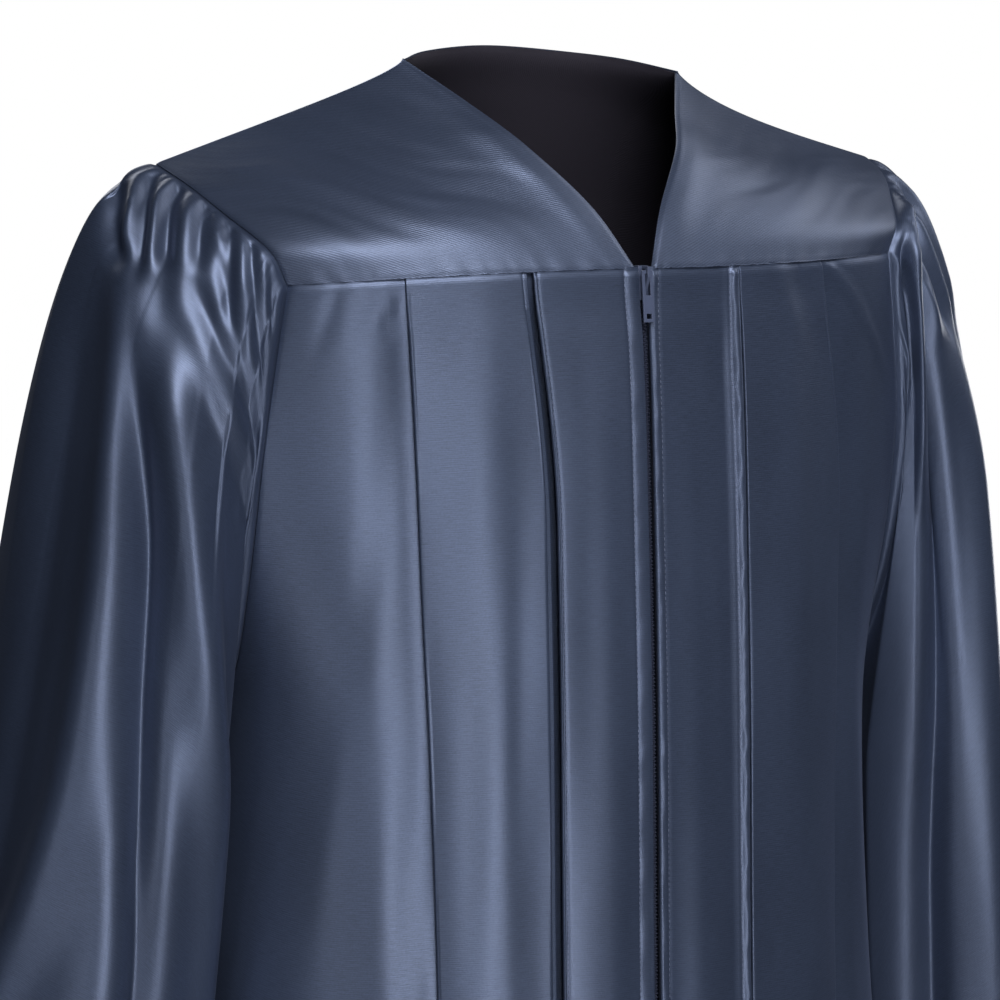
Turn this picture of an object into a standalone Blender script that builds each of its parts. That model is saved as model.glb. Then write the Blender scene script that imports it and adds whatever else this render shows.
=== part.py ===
"""Graduation gown with a V neck, pleated fronts, bell sleeves and a long front zip.

The cloth pieces are walls of even thickness on grids of points. Each grid is worked
out from the cut: the neck, shoulder, armhole and yoke seams, then sections by height.
Metres, +Z up. The front faces -Y and the wearer's left is +X. The origin lies
between the two neck points, where the wearer's neck and shoulders carry the gown.
"""
import math

import bmesh
import bpy
from mathutils import Vector

MM = 0.001

# Cloth and seams
WALL = 1.3 * MM
SEAM_GAP = 0.3 * MM
LINING_WALL = 1.0 * MM
LINING_DROP = WALL / 2 + LINING_WALL / 2 + 1.1 * MM
LINING_INSET = 3.0 * MM
LINING_EDGE_INSET = 1.8 * MM

# Cut of the neck, shoulders and yokes, on the wearer's left
NECK_POINT = Vector((84, 0, 0)) * MM
SHOULDER_POINT = Vector((219, 20, -52.5)) * MM
YOKE_CORNER = Vector((181.5, -66, -107)) * MM
V_POINT = Vector((4.3, -110.6, -105)) * MM
BACK_NECK = Vector((0, 70, 10)) * MM
BACK_CORNER = Vector((190, 78, -145)) * MM
BACK_SEAM_CENTRE = Vector((0, 118, -150)) * MM
UNDERARM = Vector((191, 10, -335)) * MM
NECK_SAG = 3.4 * MM
CORNER_SAG = 5.7 * MM
# How far each shoulder seam dips, and how near the neck: side, dip, power
SHOULDER_DIPS = {-1: (4.0 * MM, 0.45), 1: (7.5 * MM, 0.6)}
# The zip hangs a little to the wearer's left of the neck's middle
ZIP_DRIFT = 4.5 * MM
DRIFT_REACH = 185 * MM
DRIFT_DEPTH = 60 * MM

# Points between the named ones, in millimetres: across, front to back, up
NECKLINE_VIA = ((64, -33, -21), (46, -63, -42), (20.5, -91, -73.5))
FRONT_ARMHOLE_VIA = ((212, -9, -62), (202.5, -33.2, -74.3), (189.4, -61.2, -90.7))
BACK_NECK_VIA = ((67, 32, 3), (42, 58, 7))
BACK_ARMHOLE_VIA = ((212, 44, -62), (203, 64, -90), (195, 74, -118))
FRONT_PANEL_ARMHOLE_VIA = ((187, -64, -150), (192, -60, -200), (193, -44, -270), (191, -20, -320))
BACK_PANEL_ARMHOLE_VIA = ((193, 78, -200), (194, 64, -270), (192, 38, -320))

# Rows of the grids
YOKE_COLUMNS = 8
YOKE_ROWS = 7
BACK_NECK_COLUMNS = 8
FRONT_ARMHOLE_ROWS = 6
BACK_ARMHOLE_ROWS = 5
SIDE_LEVELS = (-390, -470, -570, -700, -850, -1000, -1130, -1270)
# Steps in which curves are read before they are divided
CURVE_STEPS = 12
SECTION_STEPS = 60
# Share of a row over which its direction is read
NORMAL_STEP = 0.004
# A wall's corner is mitred no further than this
MITRE_LIMIT = 0.45

# Sections of the body by height, in millimetres:
# height, half width, centre front, centre back, fold spacing, bulge between pleats,
# roundness in thousandths, from 0 for a box to 500 for an ellipse
BODY_SECTIONS = (
    (-105, 198, -110.6, 114.0, 2.3, 0.0, 300),
    (-150, 197, -116.0, 118.0, 2.3, 0.0, 330),
    (-200, 195, -120.0, 121.0, 2.3, 0.6, 370),
    (-335, 191, -129.0, 124.0, 2.3, 2.0, 470),
    (-500, 199, -136.0, 128.0, 2.5, 4.0, 530),
    (-650, 218, -146.0, 138.0, 3.0, 6.0, 560),
    (-800, 252, -160.0, 150.0, 3.6, 8.0, 560),
    (-1000, 298, -184.0, 172.0, 4.6, 10.0, 560),
    (-1270, 360, -216.0, 205.0, 6.0, 14.0, 560),
)
SECTION_POWER = 2.2
# Where the row above an armhole meets the whole section, as a share of its half width
SECTION_MEET = 0.78

# Pleat lines of each front, by height, in millimetres: height, pleat B, pleat A
FRONT_PLEATS = {
    -1: (
        (-105, 67, 128),
        (-240, 57.5, 122),
        (-510, 57.5, 115),
        (-800, 72, 152),
        (-1270, 108, 236),
    ),
    1: (
        (-105, 60.5, 120),
        (-240, 62, 136),
        (-510, 62, 133),
        (-800, 76, 162),
        (-1270, 112, 246),
    ),
}
# Pleat lines of each half of the back
BACK_PLEATS = (
    (-105, 40, 86, 132),
    (-500, 42, 90, 138),
    (-800, 52, 110, 166),
    (-1270, 78, 162, 240),
)
PLEAT_OPENING = 5.0 * MM
PLEAT_B_DEPTH = 14.0 * MM
PLEAT_A_DEPTH = 18.0 * MM
BACK_PLEAT_DEPTH = 16.0 * MM
FLY_TURN = 9.0 * MM
FOLD_SPACING = 2.3 * MM
# How far a fold's edge rounds out, as a share of the spacing of its layers
FOLD_ROUNDING = 0.45
# Where the under layer of a knife pleat sets off, and where it is back at the surface
KNIFE_TURN = 4.0 * MM
KNIFE_RISE = 16.0 * MM

# Half the gap between the two fly edges, by height, in millimetres
FLY_GAP = ((-105, 4.7), (-150, 3.4), (-1000, 3.4), (-1130, 1.05), (-1270, 1.05))

# Sleeve sections below the cap, in millimetres:
# height, centre across, centre front to back, half width, half depth, turn in degrees
SLEEVE_SECTIONS = (
    (-400, 242, 63, 66, 119, 4),
    (-480, 253, 73, 70, 124, 4),
    (-560, 264, 83, 75, 128, 4),
    (-650, 277, 94, 80, 132, 4),
)
SLEEVE_CLEARANCE = 9.0 * MM
CLEARANCE_RUN = 30 * MM
CAP_STEPS = (0.0, 0.035, 0.08, 0.15, 0.25, 0.4, 0.58, 0.78)
LOW_STEPS = (0.0, 0.2, 0.4, 0.6, 0.8, 1.0)
YOKE_SPLITS = 3
PANEL_SPLITS = 2
CAP_REACH_TOP = {-1: 215 * MM, 1: 188 * MM}
CAP_REACH_UNDER = 40 * MM
CAP_FALL_TOP = 420 * MM
CAP_FALL_UNDER = 60 * MM
CAP_LIFT_TOP = {-1: -0.05, 1: -0.12}
CAP_LIFT_UNDER = 1.4
CAP_RUN_IN = 40 * MM
GATHER_DEPTH = 3.6 * MM
# How far down the cap a gather starts and runs, and the run in which a fold grows,
# as shares of the cap's height
GATHER_START = 0.06
GATHER_RUN = 0.6
FOLD_GROWTH = 1.1

# Large folds that hang in each sleeve: turn from the outer edge in degrees,
# half width in degrees, depth in millimetres (in is negative), where it starts
SLEEVE_FOLDS = {
    -1: (
        (20, 16, 9, 0.10),
        (50, 14, -11, 0.25),
        (84, 18, 9, 0.05),
        (250, 16, -8, 0.30),
        (285, 18, 8, 0.20),
        (322, 16, -8, 0.25),
    ),
    1: (
        (18, 16, -8, 0.25),
        (50, 16, 8, 0.15),
        (84, 16, -9, 0.20),
        (250, 16, 8, 0.30),
        (285, 18, -8, 0.20),
        (322, 16, 8, 0.25),
    ),
}

# Zip
ZIP_END = -1000 * MM
TAPE_WALL = 1.0 * MM
TAPE_WIDTH = 11.5 * MM
TAPE_TOP = -117.5 * MM
TAPE_DEPTH = FOLD_SPACING + WALL / 2 + SEAM_GAP + TAPE_WALL / 2 + 0.25 * MM
CHAIN_WIDTH = 4.4 * MM
CHAIN_THICK = 2.0 * MM
SLIDER_WIDTH = 6.0 * MM
SLIDER_TOP = -103.6 * MM
SLIDER_END = -121.5 * MM
PLATE = 1.1 * MM
CROWN_WIDTH = 1.8 * MM
CROWN_HOLE = 1.6 * MM
CROWN_WALL = 1.0 * MM
CROWN_ROOT = 0.4 * MM
CROWN_STEP = 0.05 * MM
SLIDER_CLEARANCE = 0.6 * MM
PIVOT_STAND = 2.3 * MM
PULL_WIDTH = 6.5 * MM
PULL_THICK = 1.2 * MM
PULL_TOP = -105.7 * MM
PULL_END = -133.0 * MM
PULL_SLOT_WIDTH = 2.8 * MM
PULL_BAR = 2.0 * MM
PULL_SLOT_END = -119.0 * MM
PULL_HOLE_TOP = -128.6 * MM
PULL_HOLE_END = -131.2 * MM
STOP_LENGTH = 4.0 * MM

NAVY = (0.075, 0.095, 0.165, 1.0)
BLACK = (0.012, 0.011, 0.016, 1.0)
NAVY_PAINT = (0.085, 0.105, 0.175, 1.0)
CHAIN_NAVY = (0.020, 0.025, 0.055, 1.0)


def material(name, colour, roughness, metallic=0.0):
    """A plain Principled material with this colour."""
    made = bpy.data.materials.new(name)
    made.use_nodes = True
    shader = made.node_tree.nodes["Principled BSDF"]
    shader.inputs["Base Color"].default_value = colour
    shader.inputs["Roughness"].default_value = roughness
    shader.inputs["Metallic"].default_value = metallic
    return made


def add_object(name, mesh, look, smooth=True):
    """Link a mesh as a named object with its own material."""
    for polygon in mesh.polygons:
        polygon.use_smooth = smooth
    piece = bpy.data.objects.new(name, mesh)
    piece.data.materials.append(look)
    bpy.context.scene.collection.objects.link(piece)
    return piece


def table_value(table, height, column):
    """Read a column of a table whose first column is a falling height in mm."""
    level = height / MM
    if level >= table[0][0]:
        return table[0][column] * MM
    for upper, lower in zip(table, table[1:]):
        if level >= lower[0]:
            share = (upper[0] - level) / (upper[0] - lower[0])
            return (upper[column] + (lower[column] - upper[column]) * share) * MM
    return table[-1][column] * MM


def smooth_path(points, count):
    """A smooth curve through the points, read at even steps of its length."""
    fine = []
    padded = [points[0] * 2 - points[1]] + list(points) + [points[-1] * 2 - points[-2]]
    for index in range(1, len(padded) - 2):
        before, start, end, after = padded[index - 1:index + 3]
        for step in range(CURVE_STEPS):
            t = step / CURVE_STEPS
            fine.append(
                0.5 * (2 * start + (end - before) * t
                       + (2 * before - 5 * start + 4 * end - after) * t * t
                       + (3 * start - before - 3 * end + after) * t ** 3)
            )
    fine.append(points[-1].copy())
    return even_points(fine, [step / count for step in range(count + 1)])


def even_points(path, shares):
    """Points at these shares of the path's length."""
    lengths = [0.0]
    for start, end in zip(path, path[1:]):
        lengths.append(lengths[-1] + (end - start).length)
    found = []
    index = 0
    for share in shares:
        goal = share * lengths[-1]
        while index < len(path) - 2 and lengths[index + 1] < goal:
            index += 1
        span = max(lengths[index + 1] - lengths[index], 1e-9)
        found.append(path[index].lerp(path[index + 1], (goal - lengths[index]) / span))
    return found


def on_side(point, side, sag=0.0):
    """Place a point of the wearer's left on the given side, raised by its sag."""
    return Vector((point.x * side, point.y, point.z + sag * side))


def via(rows, side, sag_start=0.0, sag_end=0.0):
    """The points between two named ones, on the given side."""
    placed = []
    for index, row in enumerate(rows):
        share = (index + 1) / (len(rows) + 1)
        sag = sag_start + (sag_end - sag_start) * share
        placed.append(on_side(Vector(row) * MM, side, sag))
    return placed


def neck_point(side):
    return on_side(NECK_POINT, side, -NECK_SAG)


def shoulder_point(side):
    return on_side(SHOULDER_POINT, side)


def yoke_corner(side):
    return on_side(YOKE_CORNER, side, CORNER_SAG)


def shoulder_seam(side):
    """From the neck point to the shoulder point, dipping a little."""
    start = neck_point(side)
    end = shoulder_point(side)
    seam = []
    for step in range(YOKE_COLUMNS + 1):
        share = step / YOKE_COLUMNS
        point = start.lerp(end, share)
        dip, power = SHOULDER_DIPS[side]
        point.z -= dip * math.sin(math.pi * share ** power)
        seam.append(point)
    return seam


def neckline(side):
    start = neck_point(side)
    end = on_side(V_POINT, side)
    inner = via(NECKLINE_VIA, side, -NECK_SAG, 0.0)
    return smooth_path([start] + inner + [end], YOKE_ROWS)


def front_yoke_armhole(side):
    start = shoulder_point(side)
    inner = via(FRONT_ARMHOLE_VIA, side, 0.0, CORNER_SAG)
    return smooth_path([start] + inner + [yoke_corner(side)], YOKE_ROWS)


def back_yoke_armhole(side):
    start = shoulder_point(side)
    end = on_side(BACK_CORNER, side)
    return smooth_path([start] + via(BACK_ARMHOLE_VIA, side) + [end], YOKE_ROWS)


def front_panel_armhole(side):
    start = yoke_corner(side)
    inner = via(FRONT_PANEL_ARMHOLE_VIA, side, CORNER_SAG, 0.0)
    return smooth_path([start] + inner + [on_side(UNDERARM, side)], FRONT_ARMHOLE_ROWS)


def back_panel_armhole(side):
    start = on_side(BACK_CORNER, side)
    inner = via(BACK_PANEL_ARMHOLE_VIA, side)
    return smooth_path([start] + inner + [on_side(UNDERARM, side)], BACK_ARMHOLE_ROWS)


def back_neckline():
    """From the wearer's right neck point round the back to the left one."""
    path = [neck_point(-1)] + via(BACK_NECK_VIA, -1) + [BACK_NECK.copy()]
    path += list(reversed(via(BACK_NECK_VIA, 1))) + [neck_point(1)]
    return smooth_path(path, BACK_NECK_COLUMNS)


def whole_section_y(x, height, column):
    """Front or back of the whole body section at this place across."""
    half_width = table_value(BODY_SECTIONS, height, 1)
    centre = table_value(BODY_SECTIONS, height, column)
    power = table_value(BODY_SECTIONS, height, 6)
    share = min(1.0, abs(x) / half_width)
    return UNDERARM.y + (centre - UNDERARM.y) * (1 - share ** SECTION_POWER) ** power


def section_row(centre, edge, column):
    """A curve of the body from its centre line out to an edge point.

    Its roundness makes it meet the whole body section on the way out.
    """
    height = centre.z
    meet = SECTION_MEET * table_value(BODY_SECTIONS, height, 1)
    drop = (whole_section_y(meet, height, column) - edge.y) / (centre.y - edge.y)
    meet_share = meet / abs(edge.x)
    power = math.log(drop) / math.log(1 - meet_share ** SECTION_POWER)
    row = []
    for step in range(SECTION_STEPS + 1):
        share = math.sin(0.5 * math.pi * step / SECTION_STEPS)
        row.append(Vector((
            edge.x * share,
            edge.y + (centre.y - edge.y) * (1 - share ** SECTION_POWER) ** power,
            centre.z + (edge.z - centre.z) * share * share,
        )))
    return row


def front_seam_row(side):
    centre = Vector((0.0, V_POINT.y, V_POINT.z))
    return section_row(centre, yoke_corner(side), 2)


def back_seam_row(side):
    return section_row(BACK_SEAM_CENTRE, on_side(BACK_CORNER, side), 3)


def coons(top, bottom, left, right):
    """A patch of rows from top to bottom between four edges that share corners."""
    rows = len(left) - 1
    columns = len(top) - 1
    lengths = [0.0]
    for start, end in zip(top, top[1:]):
        lengths.append(lengths[-1] + (end - start).length)
    grid = []
    for i in range(rows + 1):
        v = i / rows
        line = []
        for j in range(columns + 1):
            u = lengths[j] / lengths[-1]
            ruled = top[j].lerp(bottom[j], v) + left[i].lerp(right[i], u)
            corners = top[0].lerp(top[-1], u).lerp(bottom[0].lerp(bottom[-1], u), v)
            line.append(ruled - corners)
        grid.append(line)
    return grid


def length_shares(path):
    lengths = [0.0]
    for start, end in zip(path, path[1:]):
        lengths.append(lengths[-1] + (end - start).length)
    return [length / lengths[-1] for length in lengths]


def front_yoke_grid(side):
    top = shoulder_seam(side)
    whole = front_seam_row(side)
    start = on_side(V_POINT, side)
    row = [start] + [point for point in whole if abs(point.x) > abs(start.x) + 1 * MM]
    bottom = even_points(row, length_shares(top))
    return coons(top, bottom, neckline(side), front_yoke_armhole(side))


def back_yoke_grid():
    """The whole back yoke, from the wearer's right to the left."""
    top = list(reversed(shoulder_seam(-1))) + back_neckline()[1:-1] + shoulder_seam(1)
    whole = list(reversed(back_seam_row(-1)))[:-1] + back_seam_row(1)
    bottom = even_points(whole, length_shares(top))
    return coons(top, bottom, back_yoke_armhole(-1), back_yoke_armhole(1))


def inward(row, share):
    """Point on a row at a length share, and the level direction into the body."""
    shares = (max(0.0, share - NORMAL_STEP), share, min(1.0, share + NORMAL_STEP))
    before, point, after = even_points(row, shares)
    run = after - before
    normal = Vector((-run.y, run.x, 0.0)).normalized()
    if normal.dot(Vector((point.x, point.y, 0.0))) > 0:
        normal = -normal
    return point, normal


def fold_columns(line, opening, depth, kind):
    """Columns of one pleat: line, way along in metres, layers deep, fold shape."""
    half = opening / 2
    columns = []
    columns += [(line, -half, -1, 0.0), (line, -half, 0, 0.5), (line, -half, -1, 1.0)]
    columns += [(line, -half - depth, 1, 1.0), (line, -half - depth, 0, 1.5)]
    columns += [(line, -half - depth, 1, 2.0)]
    if kind == "inverted":
        columns += [(line, half + depth, -1, 2.0), (line, half + depth, 0, 1.5)]
        columns += [(line, half + depth, -1, 1.0), (line, half, 1, 1.0)]
        columns += [(line, half, 0, 0.5), (line, half, 1, 0.0)]
    else:
        columns += [(line, KNIFE_TURN, 0, 2.0), (line, KNIFE_RISE, 0, 0.8)]
    return columns


def between(first, second, count):
    """Even columns on the flat cloth between two lines."""
    return [(first, second, (step + 1) / (count + 1)) for step in range(count)]


def front_columns():
    """Lines 0 fly edge, 1 pleat B, 2 pleat A, 3 armhole or side edge."""
    columns = [(0, FLY_TURN, 0, 1.0), (0, 0.0, 1, 1.0), (0, 0.0, 0, 0.5), (0, 0.0, 1, 0.0)]
    columns += between(0, 1, 3)
    columns += fold_columns(1, PLEAT_OPENING, PLEAT_B_DEPTH, "inverted")
    columns += between(1, 2, 3)
    columns += fold_columns(2, 0.0, PLEAT_A_DEPTH, "knife")
    columns += between(2, 3, 4)[1:]
    columns += [(3, 0.0, 0, 0.0)]
    return columns


def back_columns():
    """Lines 0 centre back, then three knife pleats, then the outer edge."""
    columns = [(0, 0.0, 0, 0.0)]
    for line in (1, 2, 3):
        columns += between(line - 1, line, 1)
        columns += fold_columns(line, 0.0, BACK_PLEAT_DEPTH, "knife")
    columns += between(3, 4, 4)[1:]
    columns += [(4, 0.0, 0, 0.0)]
    return columns


def place_along(row, across):
    """Length along a row from the centre line to this place across."""
    length = 0.0
    for start, end in zip(row, row[1:]):
        run = (end - start).length
        if abs(end.x) >= across:
            return length + run * (across - abs(start.x)) / (abs(end.x) - abs(start.x))
        length += run
    return length


def panel_row(row, lines, columns):
    """One row of a panel: the level curve with its pleats folded inward."""
    height = row[0].z
    spacing = table_value(BODY_SECTIONS, height, 4)
    bulge = table_value(BODY_SECTIONS, height, 5)
    total = place_along(row, math.inf)
    places = [place_along(row, line) for line in lines] + [total]
    made = []
    for column in columns:
        if len(column) == 3:
            first, second, t = column
            way = places[first] + (places[second] - places[first]) * t
            depth = -bulge * math.sin(math.pi * t)
        else:
            line, offset, turn, layer = column
            gap = FOLD_SPACING if line == 0 else spacing
            way = places[line] + offset + turn * FOLD_ROUNDING * gap
            depth = layer * gap
        point, normal = inward(row, min(1.0, max(0.0, way / total)))
        made.append(point + normal * depth)
    return made


def body_rows(side, column):
    """Level curves of one half of the front (column 2) or the back (column 3)."""
    rows = [front_seam_row(side) if column == 2 else back_seam_row(side)]
    armhole = front_panel_armhole(side) if column == 2 else back_panel_armhole(side)
    edges = armhole[1:]
    for level in SIDE_LEVELS:
        height = level * MM
        half_width = table_value(BODY_SECTIONS, height, 1)
        edges.append(Vector((half_width * side, UNDERARM.y, height)))
    for edge in edges:
        centre = Vector((0.0, table_value(BODY_SECTIONS, edge.z, column), edge.z))
        rows.append(section_row(centre, edge, column))
    return rows


def front_panel_grid(side):
    columns = front_columns()
    grid = []
    for row in body_rows(side, 2):
        lines = [table_value(FLY_GAP, row[0].z, 1)]
        lines += [table_value(FRONT_PLEATS[side], row[0].z, index) for index in (1, 2)]
        grid.append(panel_row(row, lines, columns))
    return grid


def back_panel_grid():
    """The whole back below the yoke, from the wearer's right to the left."""
    columns = back_columns()
    grid = []
    for right, left in zip(body_rows(-1, 3), body_rows(1, 3)):
        lines = [0.0] + [table_value(BACK_PLEATS, right[0].z, index) for index in (1, 2, 3)]
        half_right = panel_row(right, lines, columns)
        half_left = panel_row(left, lines, columns)
        grid.append(list(reversed(half_right)) + half_left[1:])
    return grid


def armhole_ring(side):
    """The armhole from the shoulder point, down the front and up the back."""
    ring = front_yoke_armhole(side) + front_panel_armhole(side)[1:]
    ring += list(reversed(back_panel_armhole(side)))[1:]
    ring += list(reversed(back_yoke_armhole(side)))[1:-1]
    return ring


def ring_frames(ring, side):
    """At each point of the armhole: across the seam, and out of the cloth."""
    frames = []
    for index, point in enumerate(ring):
        along = (ring[(index + 1) % len(ring)] - ring[index - 1]).normalized()
        across = Vector((side, 0, 0))
        across = (across - along * across.dot(along)).normalized()
        out = along.cross(across) * side
        frames.append((across, out.normalized()))
    return frames


def body_half_width(y, height):
    """How far out the body's wall lies at this place."""
    half_width = table_value(BODY_SECTIONS, height, 1)
    centre = table_value(BODY_SECTIONS, height, 2 if y < UNDERARM.y else 3)
    power = table_value(BODY_SECTIONS, height, 6)
    reach = (y - UNDERARM.y) / (centre - UNDERARM.y)
    if reach >= 1.0:
        return 0.0
    return half_width * (1 - reach ** (1 / power)) ** (1 / SECTION_POWER)


def sleeve_section(angle, height, side):
    """A point of the sleeve below the cap: 0 is outermost, 90 degrees in front."""
    centre_x = table_value(SLEEVE_SECTIONS, height, 1)
    centre_y = table_value(SLEEVE_SECTIONS, height, 2)
    half_width = table_value(SLEEVE_SECTIONS, height, 3)
    half_depth = table_value(SLEEVE_SECTIONS, height, 4)
    turn = math.radians(table_value(SLEEVE_SECTIONS, height, 5) / MM)
    across = half_width * math.cos(angle)
    along = -half_depth * math.sin(angle)
    x = centre_x + across * math.cos(turn) - along * math.sin(turn)
    y = centre_y + across * math.sin(turn) + along * math.cos(turn)
    return Vector((x * side, y, height))


def clear_of_body(point, side):
    """Move a sleeve point outward where it comes too near the body's side."""
    below = min(1.0, max(0.0, (UNDERARM.z - point.z) / CLEARANCE_RUN))
    if below == 0.0:
        return point
    clearance = SLEEVE_CLEARANCE + table_value(BODY_SECTIONS, point.z, 5)
    limit = body_half_width(point.y, point.z) + clearance * below
    if point.x * side < limit:
        point = Vector((limit * side, point.y, point.z))
    return point


def gather_reach(index):
    """Each gather runs down the cap by its own length."""
    change = 0.36 * math.sin(index * 2.4) + 0.16 * math.sin(index * 5.1)
    return GATHER_RUN + change


def sleeve_grid(side):
    """Columns run round the armhole, rows from the armhole to the cuff."""
    ring = armhole_ring(side)
    frames = ring_frames(ring, side)
    points = []
    for index, point in enumerate(ring):
        following = (index + 1) % len(ring)
        in_panel = YOKE_ROWS <= index < YOKE_ROWS + FRONT_ARMHOLE_ROWS + BACK_ARMHOLE_ROWS
        splits = PANEL_SPLITS if in_panel else YOKE_SPLITS
        for split in range(splits):
            share = split / splits
            across = frames[index][0].lerp(frames[following][0], share)
            out = frames[index][1].lerp(frames[following][1], share)
            points.append((point.lerp(ring[following], share), across, out))
    count = len(points)
    top = SLEEVE_SECTIONS[0][0] * MM
    cuff = SLEEVE_SECTIONS[-1][0] * MM
    columns = []
    for index, (start, across, out) in enumerate(points):
        angle = 2 * math.pi * index / count
        under = 0.5 - 0.5 * math.cos(angle)
        reach = CAP_REACH_TOP[side] + (CAP_REACH_UNDER - CAP_REACH_TOP[side]) * under ** 0.7
        fall = CAP_FALL_TOP + (CAP_FALL_UNDER - CAP_FALL_TOP) * under ** 1.2
        lift = CAP_LIFT_TOP[side] + (CAP_LIFT_UNDER - CAP_LIFT_TOP[side]) * under ** 4
        leave = (across + out * lift).normalized() * reach
        end = clear_of_body(sleeve_section(angle, top, side), side)
        lower = clear_of_body(sleeve_section(angle, top - CAP_RUN_IN, side), side)
        arrive = (lower - end).normalized() * fall
        column = []
        for t in CAP_STEPS:
            column.append(clear_of_body(
                start * (2 * t ** 3 - 3 * t * t + 1) + leave * (t ** 3 - 2 * t * t + t)
                + end * (3 * t * t - 2 * t ** 3) + arrive * (t ** 3 - t * t), side))
        for t in LOW_STEPS:
            column.append(clear_of_body(sleeve_section(angle, top + (cuff - top) * t, side), side))
        columns.append(column)
    grid = [[columns[j][i] for j in range(count)] for i in range(len(columns[0]))]
    return add_sleeve_folds(grid, side), points


def add_sleeve_folds(grid, side):
    """Gathers at the cap and the large hanging folds, along the wall's normal."""
    normals = grid_normals(grid, True)
    count = len(grid[0])
    steps = list(CAP_STEPS) + [1.0 + t for t in LOW_STEPS]
    folded = [grid[0]]
    for i in range(1, len(grid)):
        line = []
        for j in range(count):
            degrees = 360.0 * j / count
            step = steps[i]
            under = 0.5 - 0.5 * math.cos(math.radians(degrees))
            fade = max(0.0, 1 - step / gather_reach(j // 2))
            depth = GATHER_DEPTH * (1 if j % 2 else -1) * fade * (1 - under ** 3)
            depth *= min(1.0, step / GATHER_START)
            for turn, width, size, begin in SLEEVE_FOLDS[side]:
                away = abs((degrees - turn + 180) % 360 - 180)
                if away < 2 * width:
                    bell = 0.5 + 0.5 * math.cos(math.pi * away / (2 * width))
                    grow = min(1.0, max(0.0, (step - begin) / FOLD_GROWTH))
                    depth += size * MM * bell * grow
            point = grid[i][j] + normals[i][j].normalized() * side * depth
            line.append(clear_of_body(point, side))
        folded.append(line)
    return folded


def grid_normals(grid, closed):
    """Mitred normals of a grid: half the wall times these is the offset."""
    rows = len(grid)
    columns = len(grid[0])
    total = [[Vector((0, 0, 0)) for _ in range(columns)] for _ in range(rows)]
    share = [[0 for _ in range(columns)] for _ in range(rows)]
    for i in range(rows - 1):
        for j in range(columns if closed else columns - 1):
            k = (j + 1) % columns
            first = grid[i + 1][k] - grid[i][j]
            second = grid[i + 1][j] - grid[i][k]
            normal = second.cross(first).normalized()
            for a, b in ((i, j), (i, k), (i + 1, j), (i + 1, k)):
                total[a][b] += normal
                share[a][b] += 1
    for i in range(rows):
        for j in range(columns):
            mean = total[i][j] / share[i][j]
            total[i][j] = mean / max(mean.length_squared, MITRE_LIMIT)
    return total


def drifted(point):
    """Where the front's middle hangs, a little off the neck's middle."""
    near = max(0.0, 1 - abs(point.x) / DRIFT_REACH)
    in_front = min(1.0, max(0.0, -point.y / DRIFT_DEPTH))
    return point + Vector((ZIP_DRIFT * near * in_front, 0, 0))


def wall(name, grid, closed, look, thickness=WALL, normals=None):
    """A closed wall of even thickness about a grid of points."""
    rows = len(grid)
    columns = len(grid[0])
    normals = normals or grid_normals(grid, closed)
    grid = [[drifted(point) for point in line] for line in grid]
    shape = bmesh.new()
    outer = []
    inner = []
    for i in range(rows):
        outer.append([shape.verts.new(grid[i][j] + normals[i][j] * thickness / 2)
                      for j in range(columns)])
        inner.append([shape.verts.new(grid[i][j] - normals[i][j] * thickness / 2)
                      for j in range(columns)])
    last = columns if closed else columns - 1
    for i in range(rows - 1):
        for j in range(last):
            k = (j + 1) % columns
            shape.faces.new((outer[i][j], outer[i][k], outer[i + 1][k], outer[i + 1][j]))
            shape.faces.new((inner[i][j], inner[i + 1][j], inner[i + 1][k], inner[i][k]))
    for i in (0, rows - 1):
        for j in range(last):
            k = (j + 1) % columns
            rim = (outer[i][j], outer[i][k], inner[i][k], inner[i][j])
            shape.faces.new(rim if i else tuple(reversed(rim)))
    if not closed:
        for j in (0, columns - 1):
            for i in range(rows - 1):
                rim = (outer[i][j], outer[i + 1][j], inner[i + 1][j], inner[i][j])
                shape.faces.new(rim if j == 0 else tuple(reversed(rim)))
    if shape.calc_volume(signed=True) < 0:
        bmesh.ops.reverse_faces(shape, faces=shape.faces[:])
    return add_object(name, finished_mesh(name, shape), look)


def outward_normals(grid, closed, inside):
    """Normals that point away from a point inside the garment."""
    normals = grid_normals(grid, closed)
    middle = grid[len(grid) // 2]
    place = middle[len(middle) // 2] - inside
    if normals[len(grid) // 2][len(middle) // 2].dot(place) < 0:
        normals = [[-normal for normal in line] for line in normals]
    return normals


def level(normal):
    """The same direction with no rise, so that a seam's rim lies level."""
    return Vector((normal.x, normal.y, 0)).normalized()


def set_armhole(grid, normals, place, ring_point, frame):
    """Put one edge point of a body piece on the armhole's frame."""
    i, j = place
    across, out = frame
    grid[i][j] = ring_point - across * SEAM_GAP / 2
    normals[i][j] = out


def build_front_yoke(side, look, frames):
    name = "front_yoke_left" if side > 0 else "front_yoke_right"
    grid = front_yoke_grid(side)
    normals = outward_normals(grid, False, Vector((0.1 * side, 0.05, -0.3)))
    seam = shoulder_seam(side)
    for i in range(YOKE_ROWS + 1):
        set_armhole(grid, normals, (i, YOKE_COLUMNS), grid[i][YOKE_COLUMNS], frames[i])
    for j in range(YOKE_COLUMNS + 1):
        normals[0][j] = shoulder_normal(seam, j, side)
        grid[0][j] = grid[0][j] + Vector((0, -SEAM_GAP / 2, 0))
        if j < YOKE_COLUMNS:
            normals[-1][j] = level(normals[-1][j])
        grid[-1][j] = grid[-1][j] + Vector((0, 0, SEAM_GAP / 2))
    normals[-1][-1] = level(normals[-1][-1])
    return wall(name, grid, False, look, normals=normals)


def shoulder_normal(seam, index, side):
    start = seam[max(0, index - 1)]
    end = seam[min(len(seam) - 1, index + 1)]
    return (end - start).cross(Vector((0, 1, 0))).normalized() * side


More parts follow.
